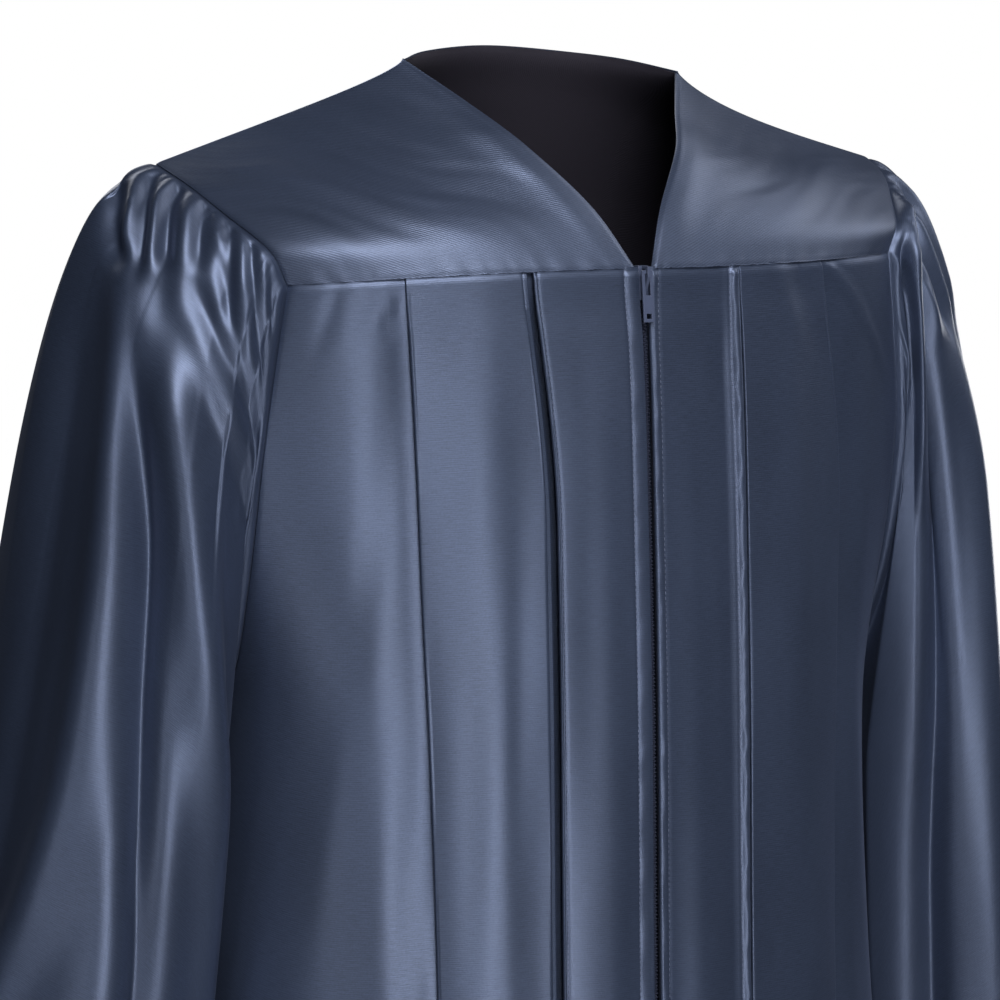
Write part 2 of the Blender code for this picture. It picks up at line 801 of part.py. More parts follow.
def build_back_yoke(look, lining_look, frames_right, frames_left):
    grid = back_yoke_grid()
    normals = outward_normals(grid, False, Vector((0, 0, -0.25)))
    lining = lining_grid(grid, normals)
    columns = len(grid[0]) - 1
    for i in range(YOKE_ROWS + 1):
        set_armhole(grid, normals, (i, 0), grid[i][0], frames_right[-i % len(frames_right)])
        set_armhole(grid, normals, (i, columns), grid[i][columns], frames_left[-i % len(frames_left)])
    for j in range(YOKE_COLUMNS + 1):
        normals[0][j] = shoulder_normal(shoulder_seam(-1), YOKE_COLUMNS - j, -1)
        normals[0][columns - j] = shoulder_normal(shoulder_seam(1), YOKE_COLUMNS - j, 1)
        grid[0][j] = grid[0][j] + Vector((0, SEAM_GAP / 2, 0))
        grid[0][columns - j] = grid[0][columns - j] + Vector((0, SEAM_GAP / 2, 0))
    for j in range(columns + 1):
        normals[-1][j] = level(normals[-1][j])
        grid[-1][j] = grid[-1][j] + Vector((0, 0, SEAM_GAP / 2))
    wall("back_yoke", grid, False, look, normals=normals)
    wall("back_yoke_lining", lining, False, lining_look, thickness=LINING_WALL)


def lining_grid(grid, normals):
    """The back yoke's own points, moved inward and drawn in from its edges."""
    lining = [[point - normal.normalized() * LINING_DROP
               for point, normal in zip(line, across)] for line, across in zip(grid, normals)]
    for line in lining:
        line[0] = line[0] + (line[1] - line[0]).normalized() * LINING_INSET
        line[-1] = line[-1] + (line[-2] - line[-1]).normalized() * LINING_INSET
    for j in range(len(lining[0])):
        top_run = (lining[1][j] - lining[0][j]).normalized()
        lower_run = (lining[-2][j] - lining[-1][j]).normalized()
        lining[0][j] = lining[0][j] + top_run * LINING_EDGE_INSET
        lining[-1][j] = lining[-1][j] + lower_run * LINING_EDGE_INSET
    return lining


def seat_panel(grid, normals, columns, rows, frames, side):
    """Fit one edge of a panel to the armhole and the side seam."""
    for i in range(rows + 1):
        set_armhole(grid, normals, (i, columns), grid[i][columns], frames[i])
    for i in range(rows + 1, len(grid)):
        normals[i][columns] = Vector((side, 0, 0))


def build_front_panel(side, look, frames):
    name = "front_panel_left" if side > 0 else "front_panel_right"
    grid = front_panel_grid(side)
    normals = grid_normals(grid, False)
    if normals[2][-3].y > 0:
        normals = [[-normal for normal in line] for line in normals]
    edge = len(grid[0]) - 1
    for j in range(edge + 1):
        normals[0][j] = Vector((normals[0][j].x, normals[0][j].y, 0))
    own = [frames[YOKE_ROWS + i] for i in range(FRONT_ARMHOLE_ROWS + 1)]
    seat_panel(grid, normals, edge, FRONT_ARMHOLE_ROWS, own, side)
    normals[0][edge] = level(normals[0][edge])
    for j in range(edge + 1):
        grid[0][j] = grid[0][j] - Vector((0, 0, SEAM_GAP / 2))
    for i in range(FRONT_ARMHOLE_ROWS, len(grid)):
        grid[i][edge] = grid[i][edge] - Vector((0, SEAM_GAP / 2, 0))
    return wall(name, grid, False, look, normals=normals)


def build_back_panel(look, frames_right, frames_left):
    grid = back_panel_grid()
    normals = grid_normals(grid, False)
    middle = len(grid[0]) // 2
    if normals[2][middle].y < 0:
        normals = [[-normal for normal in line] for line in normals]
    edge = len(grid[0]) - 1
    for j in range(edge + 1):
        normals[0][j] = Vector((normals[0][j].x, normals[0][j].y, 0))
    for side, column, frames in ((-1, 0, frames_right), (1, edge, frames_left)):
        own = [frames[len(frames) - YOKE_ROWS - i] for i in range(BACK_ARMHOLE_ROWS + 1)]
        seat_panel(grid, normals, column, BACK_ARMHOLE_ROWS, own, side)
        normals[0][column] = level(normals[0][column])
        for i in range(BACK_ARMHOLE_ROWS, len(grid)):
            grid[i][column] = grid[i][column] + Vector((0, SEAM_GAP / 2, 0))
    for j in range(edge + 1):
        grid[0][j] = grid[0][j] - Vector((0, 0, SEAM_GAP / 2))
    return wall("back_panel", grid, False, look, normals=normals)


def build_sleeve(side, look):
    name = "sleeve_left" if side > 0 else "sleeve_right"
    grid, points = sleeve_grid(side)
    normals = grid_normals(grid, True)
    if normals[3][0].x * side < 0:
        normals = [[-normal for normal in line] for line in normals]
    for j, (place, across, out) in enumerate(points):
        grid[0][j] = place + across * SEAM_GAP / 2
        normals[0][j] = out
    return wall(name, grid, True, look, normals=normals)


def front_y(height, depth):
    """The place of a layer this deep behind the front's centre line."""
    return table_value(BODY_SECTIONS, height, 2) + depth


def zip_levels():
    """The zip bends where the fronts do: at their rows' heights."""
    rows = [row[0].z for row in body_rows(1, 2)]
    return [TAPE_TOP] + [height for height in rows if ZIP_END - 1 * MM < height < TAPE_TOP]


def build_tape(side, look):
    name = "zip_tape_left" if side > 0 else "zip_tape_right"
    start = CHAIN_WIDTH / 2 + SEAM_GAP
    grid = []
    for height in zip_levels():
        y = front_y(height, TAPE_DEPTH)
        grid.append([Vector((side * (start + TAPE_WIDTH * step / 2), y, height))
                     for step in range(3)])
    return wall(name, grid, False, look, thickness=TAPE_WALL)


def build_chain(look):
    """The closed teeth, as one bar between the two tapes."""
    grid = []
    for height in zip_levels():
        y = front_y(height, TAPE_DEPTH)
        grid.append([Vector((x, y, height)) for x in (-CHAIN_WIDTH / 2, 0.0, CHAIN_WIDTH / 2)])
    return wall("zip_chain", grid, False, look, thickness=CHAIN_THICK)


def finished_mesh(name, shape):
    mesh = bpy.data.meshes.new(name)
    shape.to_mesh(mesh)
    shape.free()
    return mesh


def box_mesh(name, low, high):
    shape = bmesh.new()
    bmesh.ops.create_cube(shape, size=1.0)
    size = high - low
    for vert in shape.verts:
        vert.co = Vector([low[k] + (vert.co[k] + 0.5) * size[k] for k in range(3)])
    return finished_mesh(name, shape)


def extruded(name, outline, width):
    """A side outline, front to back and up, given a width across."""
    shape = bmesh.new()
    start = ZIP_DRIFT - width / 2
    verts = [shape.verts.new(Vector((start, y, z))) for y, z in outline]
    face = shape.faces.new(verts)
    moved = bmesh.ops.extrude_face_region(shape, geom=[face])
    for item in moved["geom"]:
        if isinstance(item, bmesh.types.BMVert):
            item.co.x += width
    bmesh.ops.recalc_face_normals(shape, faces=shape.faces[:])
    return finished_mesh(name, shape)


def pivot():
    """The middle of the pull's bar, inside the slider's crown."""
    height = PULL_TOP - PULL_BAR / 2
    return Vector((ZIP_DRIFT, front_y(height, -PIVOT_STAND), height))


def leaning(points):
    """Place outline points, each a depth and a height, on the sloping front."""
    return [(front_y(height, depth), height) for depth, height in points]


def build_slider(look):
    """Two plates joined at the top, with the crown that holds the pull."""
    slot_front = TAPE_DEPTH - CHAIN_THICK / 2 - SEAM_GAP
    slot_back = TAPE_DEPTH + CHAIN_THICK / 2 + SEAM_GAP
    front = slot_front - PLATE
    back = slot_back + PLATE
    neck = TAPE_TOP + SLIDER_CLEARANCE
    body_outline = leaning((
        (front, SLIDER_TOP), (back, SLIDER_TOP), (back, SLIDER_END), (slot_back, SLIDER_END),
        (slot_back, neck), (slot_front, neck), (slot_front, SLIDER_END), (front, SLIDER_END),
    ))
    body = add_object("zip_slider", extruded("zip_slider", body_outline, SLIDER_WIDTH), look, False)
    bar = pivot().z
    root = front + CROWN_ROOT
    tip = -PIVOT_STAND - CROWN_HOLE - CROWN_WALL
    crown_top = SLIDER_TOP - CROWN_STEP
    crown_outline = leaning((
        (root, crown_top), (tip, crown_top),
        (tip, bar - CROWN_HOLE - CROWN_WALL), (root, SLIDER_END + CROWN_WALL),
        (root, bar - CROWN_HOLE), (-PIVOT_STAND - CROWN_HOLE, bar - CROWN_HOLE),
        (-PIVOT_STAND - CROWN_HOLE, bar + CROWN_HOLE), (root, bar + CROWN_HOLE),
    ))
    crown = bpy.data.objects.new("crown_shape", extruded("crown_shape", crown_outline, CROWN_WIDTH))
    crown.hide_render = True
    crown.display_type = "WIRE"
    bpy.context.scene.collection.objects.link(crown)
    join = body.modifiers.new("crown", "BOOLEAN")
    join.operation = "UNION"
    join.solver = "EXACT"
    join.object = crown
    return body


def build_pull(look):
    """A flat tab with a long slot round the crown and a small hole at its end."""
    hub = pivot()
    half = PULL_WIDTH / 2
    slot = PULL_SLOT_WIDTH / 2
    across = (-half, -slot, slot, half)
    down = (PULL_TOP, PULL_TOP - PULL_BAR, PULL_SLOT_END, PULL_HOLE_TOP, PULL_HOLE_END, PULL_END)
    shape = bmesh.new()
    slope = (front_y(PULL_END, 0) - front_y(PULL_TOP, 0)) / (PULL_TOP - PULL_END)
    verts = [[shape.verts.new(Vector((x, slope * (hub.z - z), z - hub.z))) for x in across]
             for z in down]
    faces = []
    for i in range(len(down) - 1):
        for j in range(3):
            if j == 1 and i in (1, 3):
                continue
            faces.append(shape.faces.new((verts[i][j], verts[i][j + 1],
                                          verts[i + 1][j + 1], verts[i + 1][j])))
    moved = bmesh.ops.extrude_face_region(shape, geom=faces)
    for item in moved["geom"]:
        if isinstance(item, bmesh.types.BMVert):
            item.co.y += PULL_THICK / 2
    for line in verts:
        for vert in line:
            vert.co.y -= PULL_THICK / 2
    bmesh.ops.recalc_face_normals(shape, faces=shape.faces[:])
    piece = add_object("zip_pull", finished_mesh("zip_pull", shape), look, False)
    piece.location = hub
    return piece


def build_bottom_stop(look):
    """The small metal clip that closes the zip's lower end."""
    y = front_y(ZIP_END, TAPE_DEPTH)
    top = ZIP_END - SEAM_GAP
    low = Vector((ZIP_DRIFT - CHAIN_WIDTH / 2, y - CHAIN_THICK / 2, top - STOP_LENGTH))
    high = Vector((ZIP_DRIFT + CHAIN_WIDTH / 2, y + CHAIN_THICK / 2, top))
    return add_object("zip_bottom_stop", box_mesh("zip_bottom_stop", low, high), look, False)


def main():
    for item in list(bpy.data.objects):
        bpy.data.objects.remove(item, do_unlink=True)
    frames = {side: ring_frames(armhole_ring(side), side) for side in (-1, 1)}
    for side, name in ((-1, "right"), (1, "left")):
        build_front_yoke(side, material(f"navy_front_yoke_{name}", NAVY, 0.4), frames[side])
        build_front_panel(side, material(f"navy_front_panel_{name}", NAVY, 0.4), frames[side])
        build_sleeve(side, material(f"navy_sleeve_{name}", NAVY, 0.35))
        build_tape(side, material(f"zip_tape_{name}", CHAIN_NAVY, 0.7))
    lining_look = material("black_lining", BLACK, 0.7)
    build_back_yoke(material("navy_back_yoke", NAVY, 0.4), lining_look, frames[-1], frames[1])
    build_back_panel(material("navy_back_panel", NAVY, 0.4), frames[-1], frames[1])
    build_chain(material("zip_chain", CHAIN_NAVY, 0.5))
    build_slider(material("zip_slider_paint", NAVY_PAINT, 0.35, 0.3))
    build_pull(material("zip_pull_paint", NAVY_PAINT, 0.35, 0.3))
    build_bottom_stop(material("zip_stop_paint", NAVY_PAINT, 0.4, 0.3))


main()
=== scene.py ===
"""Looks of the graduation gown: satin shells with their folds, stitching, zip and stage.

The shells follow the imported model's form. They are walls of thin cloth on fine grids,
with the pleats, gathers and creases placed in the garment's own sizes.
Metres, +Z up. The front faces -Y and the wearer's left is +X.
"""
import math

import bmesh
import bpy
import numpy as np
from mathutils import Matrix, Vector


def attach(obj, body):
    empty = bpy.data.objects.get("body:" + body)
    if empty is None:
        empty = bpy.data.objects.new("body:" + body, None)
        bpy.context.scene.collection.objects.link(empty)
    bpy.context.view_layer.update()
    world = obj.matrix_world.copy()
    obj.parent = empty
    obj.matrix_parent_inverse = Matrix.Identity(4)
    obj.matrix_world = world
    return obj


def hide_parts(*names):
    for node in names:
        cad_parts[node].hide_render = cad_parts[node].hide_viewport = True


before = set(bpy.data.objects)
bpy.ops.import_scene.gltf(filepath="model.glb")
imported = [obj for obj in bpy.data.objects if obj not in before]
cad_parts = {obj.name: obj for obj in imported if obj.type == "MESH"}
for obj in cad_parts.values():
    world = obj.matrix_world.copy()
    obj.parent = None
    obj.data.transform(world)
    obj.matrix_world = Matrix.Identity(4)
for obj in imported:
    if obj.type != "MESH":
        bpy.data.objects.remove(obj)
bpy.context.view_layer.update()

bl_info = {
    "name": "Graduation gown",
    "version": (1, 0, 0),
    "blender": (4, 5, 0),
    "location": "3D View > Sidebar > Gown",
    "description": "Satin graduation gown with pleats, gathered sleeves and a front zip",
    "category": "Object",
}

MM = 0.001

# Cut of the neck, shoulders and yokes in millimetres, on the wearer's left
NECK_POINT = (84, 0, 0)
SHOULDER_POINT = (219, 20, -52.5)
YOKE_CORNER = (181.5, -66, -107)
V_POINT = (4.3, -110.6, -105)
BACK_NECK = (0, 70, 10)
BACK_CORNER = (190, 78, -145)
BACK_SEAM_CENTRE = (0, 118, -150)
UNDERARM = (191, 10, -335)
NECK_SAG = 3.4
CORNER_SAG = 5.7
NECK_ROLL = 1.5 * MM
NECK_ROLL_PLACE = 13 * MM
NECK_ROLL_WIDTH = 7.5 * MM
YOKE_STREAKS = 0.3 * MM
SOFTEN_TURNS = 60
SHOULDER_DIPS = {-1: (4.0, 0.45), 1: (7.5, 0.6)}
ZIP_DRIFT = 4.5 * MM
DRIFT_REACH = 185 * MM
DRIFT_DEPTH = 60 * MM
SEAM_GAP = 0.3 * MM
BODY_WIDTH = 197 * MM
BODY_DEPTH = 118 * MM
TUCK_DEPTH = 1.1 * MM
TUCK_RUN = 2.4 * MM
TUCK_UNDER = 1.0 * MM
BACK_TUCK_UNDER = 2.4 * MM
ALLOWANCE = 2.4 * MM
ALLOWANCE_DEPTH = 1.0 * MM

LINING_DROP = 2.25 * MM
LINING_RISE = 1.45 * MM
LINING_RUN = 6 * MM

NECKLINE_VIA = ((64, -33, -21), (46, -63, -42), (20.5, -91, -73.5))
FRONT_ARMHOLE_VIA = ((212, -9, -62), (202.5, -33.2, -74.3), (189.4, -61.2, -90.7))
BACK_NECK_VIA = ((67, 32, 3), (42, 58, 7))
BACK_ARMHOLE_VIA = ((212, 44, -62), (203, 64, -90), (195, 74, -118))
FRONT_PANEL_ARMHOLE_VIA = ((187, -64, -150), (192, -60, -200), (193, -44, -270), (191, -20, -320))
BACK_PANEL_ARMHOLE_VIA = ((193, 78, -200), (194, 64, -270), (192, 38, -320))

# Shares of the armhole's turn that each of its four seams takes, in even columns
FRONT_YOKE_TURN = 21
FRONT_PANEL_TURN = 12
BACK_PANEL_TURN = 10
BACK_YOKE_TURN = 21
WHOLE_TURN = FRONT_YOKE_TURN + FRONT_PANEL_TURN + BACK_PANEL_TURN + BACK_YOKE_TURN

# Sections of the body by height, in millimetres: height, half width, centre front,
# centre back, fold spacing, bulge between pleats, roundness in thousandths
BODY_SECTIONS = (
    (-105, 198, -110.6, 114.0, 2.3, 0.0, 300),
    (-150, 197, -116.0, 118.0, 2.3, 0.0, 330),
    (-200, 195, -120.0, 121.0, 2.3, 0.6, 370),
    (-335, 191, -129.0, 124.0, 2.3, 2.0, 470),
    (-500, 199, -136.0, 128.0, 2.5, 4.0, 530),
    (-650, 218, -146.0, 138.0, 3.0, 6.0, 560),
    (-800, 252, -160.0, 150.0, 3.6, 8.0, 560),
    (-1000, 298, -184.0, 172.0, 4.6, 10.0, 560),
    (-1270, 360, -216.0, 205.0, 6.0, 14.0, 560),
)
SECTION_POWER = 2.2
SECTION_MEET = 0.78
SECTION_STEPS = 160
EASE_FROM = 10
EASE_TURNS = 40
HEM = -1270 * MM

# Pleat lines by height, in millimetres: height, pleat B, pleat A
FRONT_PLEATS = {
    -1: ((-105, 67, 128), (-240, 57.5, 122), (-510, 57.5, 115), (-800, 72, 152), (-1270, 108, 236)),
    1: ((-105, 60.5, 120), (-240, 62, 136), (-510, 62, 133), (-800, 76, 162), (-1270, 112, 246)),
}
BACK_PLEATS = ((-105, 40, 86, 132), (-500, 42, 90, 138), (-800, 52, 110, 166), (-1270, 78, 162, 240))
PLEAT_OPENING = {-1: 9.6 * MM, 1: 1.8 * MM}
WELT_PLACE = {-1: -1.2 * MM, 1: 0.3 * MM}
BAND_EDGE = {-1: 1.7 * MM, 1: 0.9 * MM}
PLEAT_B_DEPTH = 14.0 * MM
PLEAT_A_DEPTH = 18.0 * MM
BACK_PLEAT_DEPTH = 16.0 * MM
FLY_TURN = 9.0 * MM
FOLD_SPACING = 2.3 * MM
FOLD_ROUNDING = 0.45
FLY_GAP = ((-105, 4.7), (-150, 3.4), (-1000, 3.4), (-1130, 1.05), (-1270, 1.05))
FLY_STITCH = {-1: 8.5 * MM, 1: 5.0 * MM}
PLEAT_STITCH = {-1: 1.7 * MM, 1: 5.0 * MM}
PLEAT_PUFF = {-1: 0.3 * MM, 1: 1.0 * MM}
FLY_CLOSE = 1.2 * MM
SEAM_SQUEEZE = 0.34
SQUEEZE_RUN = 45 * MM
LEFT_TILT = {-1: 0.0, 1: 4.4 * MM}
TILT_RUN = 60 * MM

# Sleeve sections below the cap, in millimetres: height, centre across, centre front to
# back, half width, half depth, turn in degrees
SLEEVE_SECTIONS = (
    (-400, 242, 63, 66, 119, 4),
    (-480, 253, 73, 70, 124, 4),
    (-560, 264, 83, 75, 128, 4),
    (-650, 277, 94, 80, 132, 4),
)
SLEEVE_CLEARANCE = 9.0 * MM
CLEARANCE_RUN = 30 * MM
CAP_REACH_TOP = {-1: 215 * MM, 1: 188 * MM}
CAP_REACH_UNDER = 40 * MM
CAP_FALL_TOP = 420 * MM
CAP_FALL_UNDER = 60 * MM
CAP_LIFT_TOP = {-1: -0.05, 1: -0.12}
CAP_LIFT_UNDER = 1.4
CAP_RUN_IN = 40 * MM

# Folds of each sleeve's front: rise in millimetres (in is negative), half width at the
# start and at the end in millimetres, run-in in millimetres, then the fold's path as
# heights in millimetres and turns round the sleeve from its outer edge
SLEEVE_LINES = {
    -1: (
        (11, 14, 20, 50, ((-88, 4.8), (-105, 6.2), (-140, 7.8), (-207, 8.9), (-273, 9.4), (-352, 9.2),
                          (-432, 8.0), (-485, 6.4), (-650, 4.4))),
        (-13, 6, 15, 150, ((-100, 6.4), (-140, 8.4), (-192, 10.2), (-254, 12.0), (-328, 13.0),
                           (-405, 14.8), (-485, 17.0), (-650, 19.0))),
        (12, 14, 12, 60, ((-122, 10.4), (-170, 12.8), (-225, 15.2), (-277, 17.0), (-325, 18.8),
                          (-382, 20.8), (-496, 23.0), (-650, 24.5))),
        (-10, 5, 9, 20, ((-318, 25.4), (-360, 25.8), (-496, 27.0), (-650, 28.0))),
        (-5, 16, 20, 60, ((-110, 2.5), (-200, 3.5), (-300, 4.0), (-650, 3.5))),
        (-6, 5, 6, 6, ((-61, 0.0), (-71, 1.2), (-84, 2.4), (-100, 4.4), (-112, 6.2))),
        (3.0, 2.8, 3.4, 6, ((-58, 1.2), (-72, 2.9), (-88, 4.2), (-102, 5.6))),
        (-4.5, 3.2, 3.8, 6, ((-58, 2.0), (-62, 2.6), (-83, 5.2), (-118, 7.6))),
        (3.0, 3, 3.8, 6, ((-60, 3.9), (-84, 6.4), (-112, 8.5))),
        (-5.5, 4, 5.5, 6, ((-60, 4.6), (-67, 5.6), (-86, 7.6), (-112, 9.4))),
        (2.4, 5, 8, 6, ((-64, 7.2), (-86, 9.2), (-110, 10.8), (-140, 12.0))),
        (-3.2, 3.4, 4.6, 5, ((-66, 8.0), (-74, 9.2), (-89, 10.8), (-110, 12.4))),
        (1.6, 3.0, 4.0, 5, ((-72, 10.4), (-86, 12.2), (-106, 14.0))),
        (-3.0, 3.4, 4.8, 5, ((-74, 11.0), (-81, 12.2), (-91, 13.8), (-109, 15.2), (-140, 16.9))),
        (1.5, 3.0, 4.0, 5, ((-80, 13.2), (-96, 15.4), (-124, 17.4))),
        (-2.8, 3.4, 5, 5, ((-86, 14.8), (-92, 15.8), (-111, 17.6), (-145, 20.6), (-172, 23.0))),
        (1.4, 3.0, 4.2, 5, ((-90, 16.4), (-112, 19.0), (-140, 21.6))),
        (-2.0, 3.0, 4.0, 5, ((-95, 17.8), (-103, 18.8), (-120, 20.4), (-142, 22.2))),
        (-3.4, 5, 8, 20, ((-108, 11.8), (-120, 13.2), (-156, 17.4), (-192, 22.6), (-216, 25.4))),
        (1.6, 6, 8, 20, ((-120, 11.6), (-140, 14.0), (-170, 17.4), (-205, 22.4), (-228, 25.0))),
        (-1.6, 6, 9, 20, ((-160, 14.2), (-180, 16.0), (-210, 19.6), (-249, 25.0))),
        (-2.2, 3.4, 5, 8, ((-90, 12.4), (-100, 13.6), (-125, 15.9), (-160, 19.6), (-187, 22.8))),
    ),
    1: (
        (8, 4.2, 5, 10, ((-68, 10.4), (-78, 14.0), (-99, 18.6), (-128, 19.8), (-178, 20.0), (-265, 20.4))),
        (-5, 3, 4, 8, ((-84, 16.0), (-92, 18.2), (-108, 20.6), (-140, 21.5), (-190, 21.5))),
        (4, 2.8, 3.2, 8, ((-80, 16.4), (-94, 19.6), (-112, 21.4), (-147, 22.8), (-194, 22.6))),
        (-4, 3.2, 5, 8, ((-94, 20.4), (-106, 22.4), (-130, 24.0), (-165, 24.4), (-210, 24.0))),
        (-12, 5, 13, 40, ((-74, 10.4), (-88, 13.4), (-114, 16.4), (-155, 17.8), (-202, 18.2),
                          (-253, 18.4), (-353, 19.0), (-474, 20.4), (-650, 20.8))),
        (9, 10, 16, 120, ((-112, 11.0), (-150, 12.6), (-203, 13.0), (-250, 13.2), (-357, 13.8),
                          (-474, 15.0), (-650, 15.0))),
        (-4, 3.5, 5, 8, ((-63, 6.4), (-83, 9.6), (-114, 10.2), (-155, 9.0), (-217, 8.8))),
        (-4, 3, 4.5, 8, ((-58, 3.0), (-72, 5.4), (-95, 6.6), (-140, 6.6))),
        (2.6, 2.8, 4, 8, ((-60, 4.6), (-78, 7.4), (-105, 8.4), (-150, 7.8))),
        (-4, 3, 4.5, 8, ((-68, 9.0), (-88, 12.8), (-115, 13.8), (-160, 13.4))),
        (3, 2.8, 4, 8, ((-66, 8.0), (-84, 11.4), (-110, 12.2), (-150, 11.6))),
        (3, 2.6, 4, 8, ((-74, 11.4), (-92, 14.8), (-115, 16.0), (-160, 15.8))),
        (-4, 2.6, 4, 8, ((-56, 1.4), (-68, 2.9), (-100, 3.8), (-150, 3.6))),
    ),
}
BACK_LINES = (
    (-8, 14, 24, 80, ((-110, 57.5), (-300, 57.0), (-650, 57.2))),
    (8, 16, 24, 80, ((-110, 51.5), (-300, 50.5), (-650, 50.7))),
    (-8, 14, 22, 80, ((-140, 45.0), (-300, 44.2), (-650, 44.4))),
)
SMALL_FOLD = 7
PUCKERS = 30
FINE_TURNS = 32
LOWER_ARMHOLE_TURN = 28

# Soft creases of each front panel, in millimetres: across, height, slope in degrees
# from level, half length, half width, rise (in is negative)
PANEL_CREASES = {
    -1: (
        (136, -127, 38, 11, 2.6, -1.3),
        (141, -121, 38, 10, 2.2, 0.7),
        (150, -118, 80, 22, 5, -0.8),
        (168, -122, 70, 20, 5, -0.8),
        (150, -260, 84, 70, 9, -1.2),
        (165, -370, 80, 90, 10, 1.3),
        (136, -450, 86, 80, 9, -1.2),
        (92, -220, 88, 90, 12, 1.2),
        (76, -330, 88, 90, 7, -0.8),
        (100, -400, 89, 120, 10, -0.9),
        (38, -300, 89, 120, 9, -0.7),
        (20, -420, 89, 90, 6, 0.5),
        (88, -560, 86, 110, 12, -1.6),
        (150, -620, 84, 130, 14, 2.0),
        (40, -660, 88, 130, 12, -1.6),
    ),
    1: (
        (94, -124, 66, 26, 7.0, 0.8),
        (108, -124, 72, 34, 11.0, -0.9),
        (138, -117, 36, 20, 2.6, 1.6),
        (144, -124, 40, 22, 2.6, -1.6),
        (150, -128, 42, 24, 2.8, 1.8),
        (158, -132, 46, 24, 3.0, -1.6),
        (164, -140, 50, 26, 3.2, 1.5),
        (158, -260, 86, 80, 9, -1.5),
        (172, -380, 84, 90, 10, 1.4),
        (100, -230, 88, 90, 10, 1.6),
        (84, -360, 88, 100, 8, -0.8),
        (36, -300, 89, 120, 8, -0.6),
        (90, -560, 88, 110, 12, -1.6),
        (160, -620, 86, 130, 14, 2.0),
        (44, -660, 89, 130, 12, -1.6),
    ),
}

# Zip, in the same sizes as its solids
ZIP_END = -1000 * MM
TAPE_TOP = -117.5 * MM
TAPE_DEPTH = 4.0 * MM
TAPE_WALL = 0.9 * MM
TAPE_WIDTH = 11.5 * MM
CHAIN_WIDTH = 4.4 * MM
CHAIN_THICK = 2.0 * MM
TOOTH_PITCH = 1.0 * MM
SLIDER_WIDTH = 6.0 * MM
SLIDER_TOP = -103.6 * MM
SLIDER_END = -121.5 * MM
PLATE = 1.1 * MM
CROWN_WIDTH = 1.8 * MM
CROWN_HOLE = 1.6 * MM
PIVOT_STAND = 2.3 * MM
PULL_WIDTH = 6.5 * MM
PULL_THICK = 1.2 * MM
PULL_TOP = -105.7 * MM
PULL_END = -133.0 * MM
PULL_SLOT_WIDTH = 2.8 * MM
PULL_BAR = 2.0 * MM
PULL_SLOT_END = -119.0 * MM
PULL_HOLE_TOP = -128.6 * MM
PULL_HOLE_END = -131.2 * MM

# Camera: the photograph's angle and framing
VIEW_TURN = 26.81
VIEW_RISE = 5.99
VIEW_ROLL = 0.47
VIEW_DISTANCE = 2.6
VIEW_TARGET = (-0.0238, 0.0, -0.2372)
VIEW_LENS = 170.96


def unit(vectors):
    """The same vectors at length one."""
    length = np.linalg.norm(vectors, axis=-1, keepdims=True)
    return vectors / np.maximum(length, 1e-12)


def smooth_step(value):
    """Nought to one with level ends."""
    value = np.clip(value, 0.0, 1.0)
    return value * value * (3 - 2 * value)


def read(table, column, height):
    """A table's column at these heights, smooth and without overshoot."""
    rows = sorted(table)
    heights = np.array([row[0] for row in rows]) * MM
    values = np.array([row[column] for row in rows]) * MM
    run = np.diff(heights)
    rise = np.diff(values) / run
    slope = np.concatenate(([rise[0]], np.zeros(len(rise) - 1), [rise[-1]]))
    for k in range(1, len(rise)):
        if rise[k - 1] * rise[k] > 0:
            slope[k] = 2 * rise[k - 1] * rise[k] / (rise[k - 1] + rise[k])
    level = np.clip(height, heights[0], heights[-1])
    k = np.clip(np.searchsorted(heights, level, side="right") - 1, 0, len(run) - 1)
    t = (level - heights[k]) / run[k]
    return ((2 * t ** 3 - 3 * t ** 2 + 1) * values[k] + (t ** 3 - 2 * t ** 2 + t) * run[k] * slope[k]
            + (3 * t ** 2 - 2 * t ** 3) * values[k + 1] + (t ** 3 - t ** 2) * run[k] * slope[k + 1])


def lengths_of(path):
    """Length along a path at each of its points."""
    steps = np.linalg.norm(np.diff(path, axis=0), axis=1)
    return np.concatenate(([0.0], np.cumsum(steps)))


def along(path, shares):
    """Points at these shares of a path's length."""
    lengths = lengths_of(path)
    goals = np.asarray(shares) * lengths[-1]
    return np.stack([np.interp(goals, lengths, path[:, k]) for k in range(3)], axis=-1)


def curve_through(points):
    """A smooth dense path through the points, in metres."""
    points = np.array(points, float) * MM
    padded = np.vstack((2 * points[0] - points[1], points, 2 * points[-1] - points[-2]))
    t = np.linspace(0, 1, 40, endpoint=False)[:, None]
    spans = []
    for k in range(1, len(padded) - 2):
        a, b, c, d = padded[k - 1:k + 3]
        spans.append(0.5 * (2 * b + (c - a) * t + (2 * a - 5 * b + 4 * c - d) * t ** 2
                            + (3 * b - a - 3 * c + d) * t ** 3))
    return np.vstack(spans + [points[-1:]])


def placed(point, side, sag=0.0):
    """A point of the wearer's left, on this side, in millimetres."""
    return (point[0] * side, point[1], point[2] + sag * side)


def via(rows, side, sag_start=0.0, sag_end=0.0):
    """The points between two named ones, on this side."""
    count = len(rows) + 1
    return [placed(row, side, sag_start + (sag_end - sag_start) * (k + 1) / count)
            for k, row in enumerate(rows)]


def shoulder_seam(side, shares):
    start = np.array(placed(NECK_POINT, side, -NECK_SAG)) * MM
    end = np.array(placed(SHOULDER_POINT, side)) * MM
    shares = np.asarray(shares)[:, None]
    seam = start + (end - start) * shares
    dip, power = SHOULDER_DIPS[side]
    seam[:, 2] -= dip * MM * np.sin(np.pi * shares[:, 0] ** power)
    return seam


